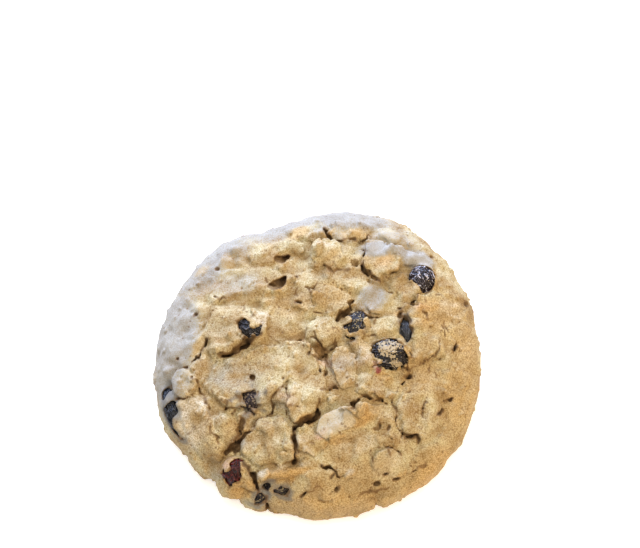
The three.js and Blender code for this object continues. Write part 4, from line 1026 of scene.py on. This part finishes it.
def linear(code):
    # sRGB hex to linear colour
    parts = [int(code[i:i + 2], 16) / 255 for i in (1, 3, 5)]
    return (*(c / 12.92 if c <= 0.04045 else ((c + 0.055) / 1.055) ** 2.4 for c in parts), 1)


def perMillimetre(size):
    # pattern scale for coordinates in metres
    return 1000 / size


def newFinish(name):
    finish = bpy.data.materials.new(name)
    finish.use_nodes = True
    return finish, finish.node_tree, finish.node_tree.nodes["Principled BSDF"]


def addNode(tree, kind, settings=None, links=None, out=0):
    # one node with its settings, socket values by name or number, and links into its sockets; gives an output
    node = tree.nodes.new("ShaderNode" + kind)
    for key, value in (settings or {}).items():
        if isinstance(key, str) and hasattr(node, key):
            setattr(node, key, value)
        else:
            node.inputs[key].default_value = value
    for key, socket in (links or {}).items():
        tree.links.new(socket, node.inputs[key])
    return node.outputs[out]


eased = {"interpolation_type": "SMOOTHSTEP"}


def layOver(tree, under, code, most, mask, low=0.0, high=1.0):
    # lays a colour over what is under it, nought where the mask is low and most where it is high
    amount = addNode(tree, "MapRange", {**eased, 1: low, 2: high, 4: most}, {0: mask})
    return addNode(tree, "Mix", {"data_type": "RGBA", 7: linear(code)}, {0: amount, 6: under}, 2)


# Oat cookie dough: flour, oats and brown sugar baked until it sets. Matt and a little floury, so it takes
# the light softly; high edges are toasted and partly painted as highlight, oats show pale, cracks go brown and
# are painted with shade deep down, hollows are painted with shade, the rim that faces the window is painted
# with a cool sheen along with its flour, and bran speckles it all.
doughFinish = {
    "dough": ("#b09565", "#c8b589", "#d6caa0"),  # brown, tan and pale
    "grains": ("#bcad94", "#ffffff"),
    # colours of the stains; shade and grey are painted shade, and pale is partly painted highlight
    "stains": {
        "grey": "#aea89a", "pale": "#ebe3cd", "pink": "#d3b09c", "toast": "#c9a364", "berry": "#8c2f40",
        "shade": "#7d5f3b",
    },
    # colour of the flour, which also paints the cool sheen on the rim
    "flourSheen": "#a4a199",
    # colour of the painted shade of hairline cracks
    "breaks": "#745531",
    "bran": "#6c4c29",
    # marks that colour it: colour, how strong it gets, and where it starts and is full
    # edge is a golden tint on what stands out, partly toast and partly painted highlight
    "raised": {"flake": ("#cfc5ab", 0.7, 0.0, 1.0), "edge": ("#d0aa68", 0.45, 0.10, 0.40)},
    # sunken marks: fruit greys the dough near raisins; hollows get painted shade; cracks, holes and pores go
    # brown at the lips and near black deep down, which is painted shade
    "sunken": [
        ("fruit", "#696966", 0.75, 0.0, 1.0),
        ("hollow", "#897049", 0.7, 0.1, 0.9),
        ("crack", "#745531", 0.7, 0.05, 0.4),
        ("crack", "#2e1d10", 0.92, 0.35, 1.0),
    ],
    "mottleSize": 5.0,  # mm
    "grainSize": 0.34,  # mm
    "crumbSize": 1.2,  # mm
    "crumbPatches": 2.6,  # mm
    "branSpacing": 1.3,  # mm
    "roughness": 0.75,
    "specular": 0.25,
    "bump": 0.2,  # mm
    "bumpStrength": 0.65,
}


def makeDoughFinish():
    look = doughFinish
    finish, tree, skin = newFinish("bakedOatDough")
    place = {"Vector": addNode(tree, "TexCoord", out="Object")}
    marked = {
        name: addNode(tree, "Attribute", {"attribute_name": name}, out="Fac") for name in (*marks, *stains)
    }
    mottle = addNode(tree, "TexNoise", {"Scale": perMillimetre(look["mottleSize"]), "Detail": 3.0}, place)
    grains = {"Scale": perMillimetre(look["grainSize"]), "Detail": 3.0, "Roughness": 0.65}
    grains = addNode(tree, "TexNoise", grains, place)
    colour = addNode(tree, "MapRange", {**eased, 1: 0.3, 2: 0.7}, {0: mottle})
    colour = addNode(tree, "ValToRGB", {}, {"Fac": colour})
    stops = colour.node.color_ramp.elements
    stops.new(0.5)
    for stop, code in zip(stops, look["dough"]):
        stop.color = linear(code)
    patches = addNode(tree, "MapRange", {**eased, 1: 0.25, 2: 0.6}, {0: mottle})
    for name, code in look["stains"].items():
        patchy = addNode(tree, "Math", {"operation": "MULTIPLY"}, {0: marked[name], 1: patches})
        colour = layOver(tree, colour, code, 0.85, patchy)
    for name, (code, most, low, high) in look["raised"].items():
        colour = layOver(tree, colour, code, most, marked[name], low, high)
    # painted shade of hairline cracks: thin crooked dark lines, here and there, with no cut in the mesh under
    # them
    lines = {"Scale": perMillimetre(look["crumbSize"]), "Detail": 2.0, "Distortion": 0.6}
    lines = addNode(tree, "TexNoise", lines, place)
    lines = addNode(tree, "Math", {"operation": "SUBTRACT", 1: 0.5}, {0: lines})
    lines = addNode(tree, "Math", {"operation": "ABSOLUTE"}, {0: lines})
    lines = addNode(tree, "Math", {"operation": "SUBTRACT", 0: 0.02}, {1: lines})
    lines = addNode(tree, "MapRange", {**eased, 1: -0.012, 2: 0.02}, {0: lines})
    sparse = addNode(tree, "TexNoise", {"Scale": perMillimetre(look["crumbPatches"]), "Detail": 2.0}, place)
    sparse = addNode(tree, "MapRange", {**eased, 1: 0.48, 2: 0.62}, {0: sparse})
    lines = addNode(tree, "Math", {"operation": "MULTIPLY"}, {0: lines, 1: sparse})
    colour = layOver(tree, colour, look["breaks"], 0.6, lines)
    # the flour and its painted cool sheen stay off what is toasted, and lie in grains
    dusty = {0: marked["toast"], 2: marked["flourAndSheen"]}
    dusty = addNode(tree, "Math", {"operation": "MULTIPLY_ADD", 1: -0.8}, dusty)
    dusty = addNode(tree, "Math", {"operation": "MULTIPLY_ADD", 1: 1.9}, {0: grains, 2: dusty})
    colour = layOver(tree, colour, look["flourSheen"], 0.92, dusty, 0.9, 1.95)
    # grains of flour and sugar, fainter where flour or an oat makes it smooth
    grained = addNode(tree, "MapRange", {**eased, 1: 0.32, 2: 0.66}, {0: grains})
    grained = addNode(tree, "ValToRGB", {}, {"Fac": grained})
    for stop, code in zip(grained.node.color_ramp.elements, look["grains"]):
        # grains of flour and sugar, fainter on oats and where the flour and its painted sheen make it smooth
        stop.color = linear(code)
    rough = addNode(tree, "Math", {"operation": "MAXIMUM"}, {0: marked["flourAndSheen"], 1: marked["flake"]})
    rough = addNode(tree, "Math", {"operation": "MULTIPLY_ADD", 1: -0.42, 2: 1.0}, {0: rough})
    grained = {0: rough, 6: colour, 7: grained}
    colour = addNode(tree, "Mix", {"data_type": "RGBA", "blend_type": "MULTIPLY"}, grained, 2)
    # bran specks: each cell of the pattern has its own size of speck, and many have none
    bran = {"Scale": perMillimetre(look["branSpacing"]), "Randomness": 1.0}
    bran = addNode(tree, "TexVoronoi", bran, place)
    specks = {0: bran.node.outputs["Color"]}
    specks = addNode(tree, "Math", {"operation": "MULTIPLY_ADD", 1: 0.42, 2: -0.12}, specks)
    specks = addNode(tree, "Math", {"operation": "SUBTRACT"}, {0: specks, 1: bran})
    specks = addNode(tree, "MapRange", {**eased, 1: -0.04, 2: 0.10, 4: 0.62}, {0: specks})
    colour = addNode(tree, "Mix", {"data_type": "RGBA", 7: linear(look["bran"])}, {0: specks, 6: colour}, 2)
    for name, code, most, low, high in look["sunken"]:
        colour = layOver(tree, colour, code, most, marked[name], low, high)
    tree.links.new(colour, skin.inputs["Base Color"])
    skin.inputs["Roughness"].default_value = look["roughness"]
    skin.inputs["Specular IOR Level"].default_value = look["specular"]
    height = addNode(tree, "Math", {"operation": "SUBTRACT"}, {0: grains, 1: specks})
    height = addNode(tree, "Math", {"operation": "MULTIPLY"}, {0: height, 1: rough})
    bump = {"Strength": look["bumpStrength"], "Distance": look["bump"] * mm}
    bump = addNode(tree, "Bump", bump, {"Height": height})
    tree.links.new(bump, skin.inputs["Normal"])
    return finish


# Raisin skin: a grape dried until its skin wrinkles, and shiny. Its ridges are painted pale, partly a bloom of
# sugar and partly painted highlight, and its valleys near black, which is painted shade; crumbs of pale dough
# are baked on.
# Each look is the colour of the bloom and highlight on the ridges, the skin, its valleys and the crumbs, how
# rough it is, and the raisins that have it.
raisinLooks = {
    "dark": ("#8f8988", "#211b1a", "#0a0707", "#b3a180", 0.22, ["crusted", "left"]),
    "striped": ("#efe8ea", "#33282b", "#0e090b", "#b8a48a", 0.24, ["right_rim"]),
    "sunk": ("#625957", "#241d1c", "#0e0a0a", "#8f8264", 0.26, ["middle", "front", "front_low"]),
    "faded": ("#77696a", "#3a2e31", "#1c1517", "#8d7c66", 0.45, ["low_left"]),
    "hazed": ("#6f737a", "#45474c", "#232427", "#7a7369", 0.5, ["crevice"]),
    "wet": ("#3f434c", "#17181c", "#08080a", "#62615f", 0.2, ["edge"]),
    "red": ("#7a2c26", "#47130f", "#1e0806", "#7c4436", 0.2, ["red"]),
}
raisinFinish = {  # sizes in mm
    "fine": 0.5, "speck": 0.5, "bump": 0.3, "bumpStrength": 0.7, "specular": 0.3, "crumbRoughness": 0.75,
    "skinStop": 0.45,
}


def makeRaisinFinish(name, bloomAndHighlight, fruit, valley, crumb, roughness):
    look = raisinFinish
    finish, tree, skin = newFinish(name)
    place = {"Vector": addNode(tree, "TexCoord", out="Object")}
    fold = addNode(tree, "Attribute", {"attribute_name": "valley"}, out="Fac")
    baked = addNode(tree, "Attribute", {"attribute_name": "crumbs"}, out="Fac")
    # painted highlight and shade: pale on the ridges, near black in the valleys
    colour = addNode(tree, "ValToRGB", {}, {"Fac": fold})
    stops = colour.node.color_ramp.elements
    stops.new(look["skinStop"])
    for stop, code in zip(stops, (bloomAndHighlight, fruit, valley)):
        stop.color = linear(code)
    fine = {"Scale": perMillimetre(look["fine"]), "Detail": 4.0, "Roughness": 0.6}
    fine = addNode(tree, "TexNoise", fine, place)
    # baked-on dough comes in specks: more cells of the pattern have one, and larger, the more there is
    cells = addNode(tree, "TexVoronoi", {"Scale": perMillimetre(look["speck"]), "Randomness": 1.0}, place)
    chosen = addNode(tree, "Math", {"operation": "SUBTRACT"}, {0: baked, 1: cells.node.outputs["Color"]})
    reach = addNode(tree, "Math", {"operation": "MULTIPLY_ADD", 1: 0.5, 2: 0.22}, {0: baked})
    reach = addNode(tree, "Math", {"operation": "SUBTRACT"}, {0: reach, 1: cells})
    chosen = addNode(tree, "MapRange", {**eased, 1: -0.05, 2: 0.05}, {0: chosen})
    reach = addNode(tree, "MapRange", {**eased, 1: -0.1, 2: 0.1}, {0: reach})
    crumbs = addNode(tree, "Math", {"operation": "MULTIPLY"}, {0: chosen, 1: reach})
    colour = addNode(tree, "Mix", {"data_type": "RGBA", 7: linear(crumb)}, {0: crumbs, 6: colour}, 2)
    tree.links.new(colour, skin.inputs["Base Color"])
    skin.inputs["Specular IOR Level"].default_value = look["specular"]
    shine = addNode(tree, "MapRange", {3: roughness, 4: look["crumbRoughness"]}, {0: crumbs})
    tree.links.new(shine, skin.inputs["Roughness"])
    bump = {"Strength": look["bumpStrength"], "Distance": look["bump"] * mm}
    bump = addNode(tree, "Bump", bump, {"Height": fine})
    tree.links.new(bump, skin.inputs["Normal"])
    return finish


doughPiece.data.materials.append(makeDoughFinish())
for name, (*look, wearers) in raisinLooks.items():
    finish = makeRaisinFinish(name + "RaisinSkin", *look)
    for wearer in wearers:
        raisinPieces["raisin_" + wearer].data.materials.append(finish)
print("finishes made")

# The stage: a pale light table, the camera and soft lights.
stageSet = {"floor": "#f4f4f4", "floorSize": 3.0, "roughness": 0.9, "glow": 0.5}
bpy.ops.mesh.primitive_plane_add(size=stageSet["floorSize"])
floor = bpy.context.active_object
floor.name = "floor"
floorFinish, _, floorSkin = newFinish("opalGlass")
floorSkin.inputs["Base Color"].default_value = linear(stageSet["floor"])
floorSkin.inputs["Roughness"].default_value = stageSet["roughness"]
floorSkin.inputs["Emission Color"].default_value = linear(stageSet["floor"])
floorSkin.inputs["Emission Strength"].default_value = stageSet["glow"]
floor.data.materials.append(floorFinish)

cameraSet = {
    "elevation": 72.0,
    "distance": 280.0,  # mm
    "pixelsPerMm": 4.09,  # at the cookie
    "frame": (640, 548),
    "seatedAt": (320.4, 354.5),  # where the aim point falls in the frame
    "aim": (0.75, -0.55, 9.0),
    "sensor": 36,
    "clip": (0.01, 20),  # metres
}


def placeCamera():
    look = cameraSet
    rise = math.radians(look["elevation"])
    back = Vector((0, -math.cos(rise), math.sin(rise)))
    focal = look["pixelsPerMm"] * look["distance"]
    width, height = look["frame"]
    right = Vector((1, 0, 0))
    up = right.cross(-back)
    pitch = math.atan((look["seatedAt"][1] - height / 2) / focal)
    swing = -math.atan((look["seatedAt"][0] - width / 2) / focal * math.cos(pitch))
    ahead = -back * math.cos(pitch) + up * math.sin(pitch)
    up = up * math.cos(pitch) + back * math.sin(pitch)
    c, s = math.cos(swing), math.sin(swing)
    ahead, right = ahead * c + right * s, right * c - ahead * s
    camera = bpy.data.objects.new("camera", bpy.data.cameras.new("camera"))
    bpy.context.scene.collection.objects.link(camera)
    camera.data.sensor_width = look["sensor"]
    camera.data.lens = look["sensor"] * focal / width
    camera.data.clip_start, camera.data.clip_end = look["clip"]
    place = (Vector(look["aim"]) + back * look["distance"]) * mm
    camera.matrix_world = Matrix.Translation(place) @ Matrix((right, up, -ahead)).transposed().to_4x4()
    bpy.context.scene.camera = camera


placeCamera()

# Soft boxes: place and size in metres, power in watts, colour.
softBoxes = {
    "windowLeft": {"place": (-0.14, 0.57, 0.2), "size": 0.4, "power": 9.3, "colour": "#c3d5ff"},
    "overhead": {"place": (-0.05, 0.05, 0.75), "size": 0.6, "power": 5.0, "colour": "#fff6ea"},
    "warmRight": {"place": (0.50, -0.30, 0.36), "size": 0.5, "power": 2.8, "colour": "#ffdaa0"},
}
sky = {"colour": "#f3f4f8", "strength": 0.25}
for name, box in softBoxes.items():
    light = bpy.data.lights.new(name, "AREA")
    light.size = box["size"]
    light.energy = box["power"]
    light.color = linear(box["colour"])[:3]
    lamp = bpy.data.objects.new(name, light)
    bpy.context.scene.collection.objects.link(lamp)
    lamp.location = box["place"]
    lamp.rotation_euler = (Vector((0, 0, 0.01)) - lamp.location).to_track_quat("-Z", "Y").to_euler()
studio = bpy.data.worlds.new("studio")
studio.use_nodes = True
studio.node_tree.nodes["Background"].inputs["Color"].default_value = linear(sky["colour"])
studio.node_tree.nodes["Background"].inputs["Strength"].default_value = sky["strength"]
bpy.context.scene.world = studio
bpy.context.scene.view_settings.view_transform = "Standard"
print("stage set")
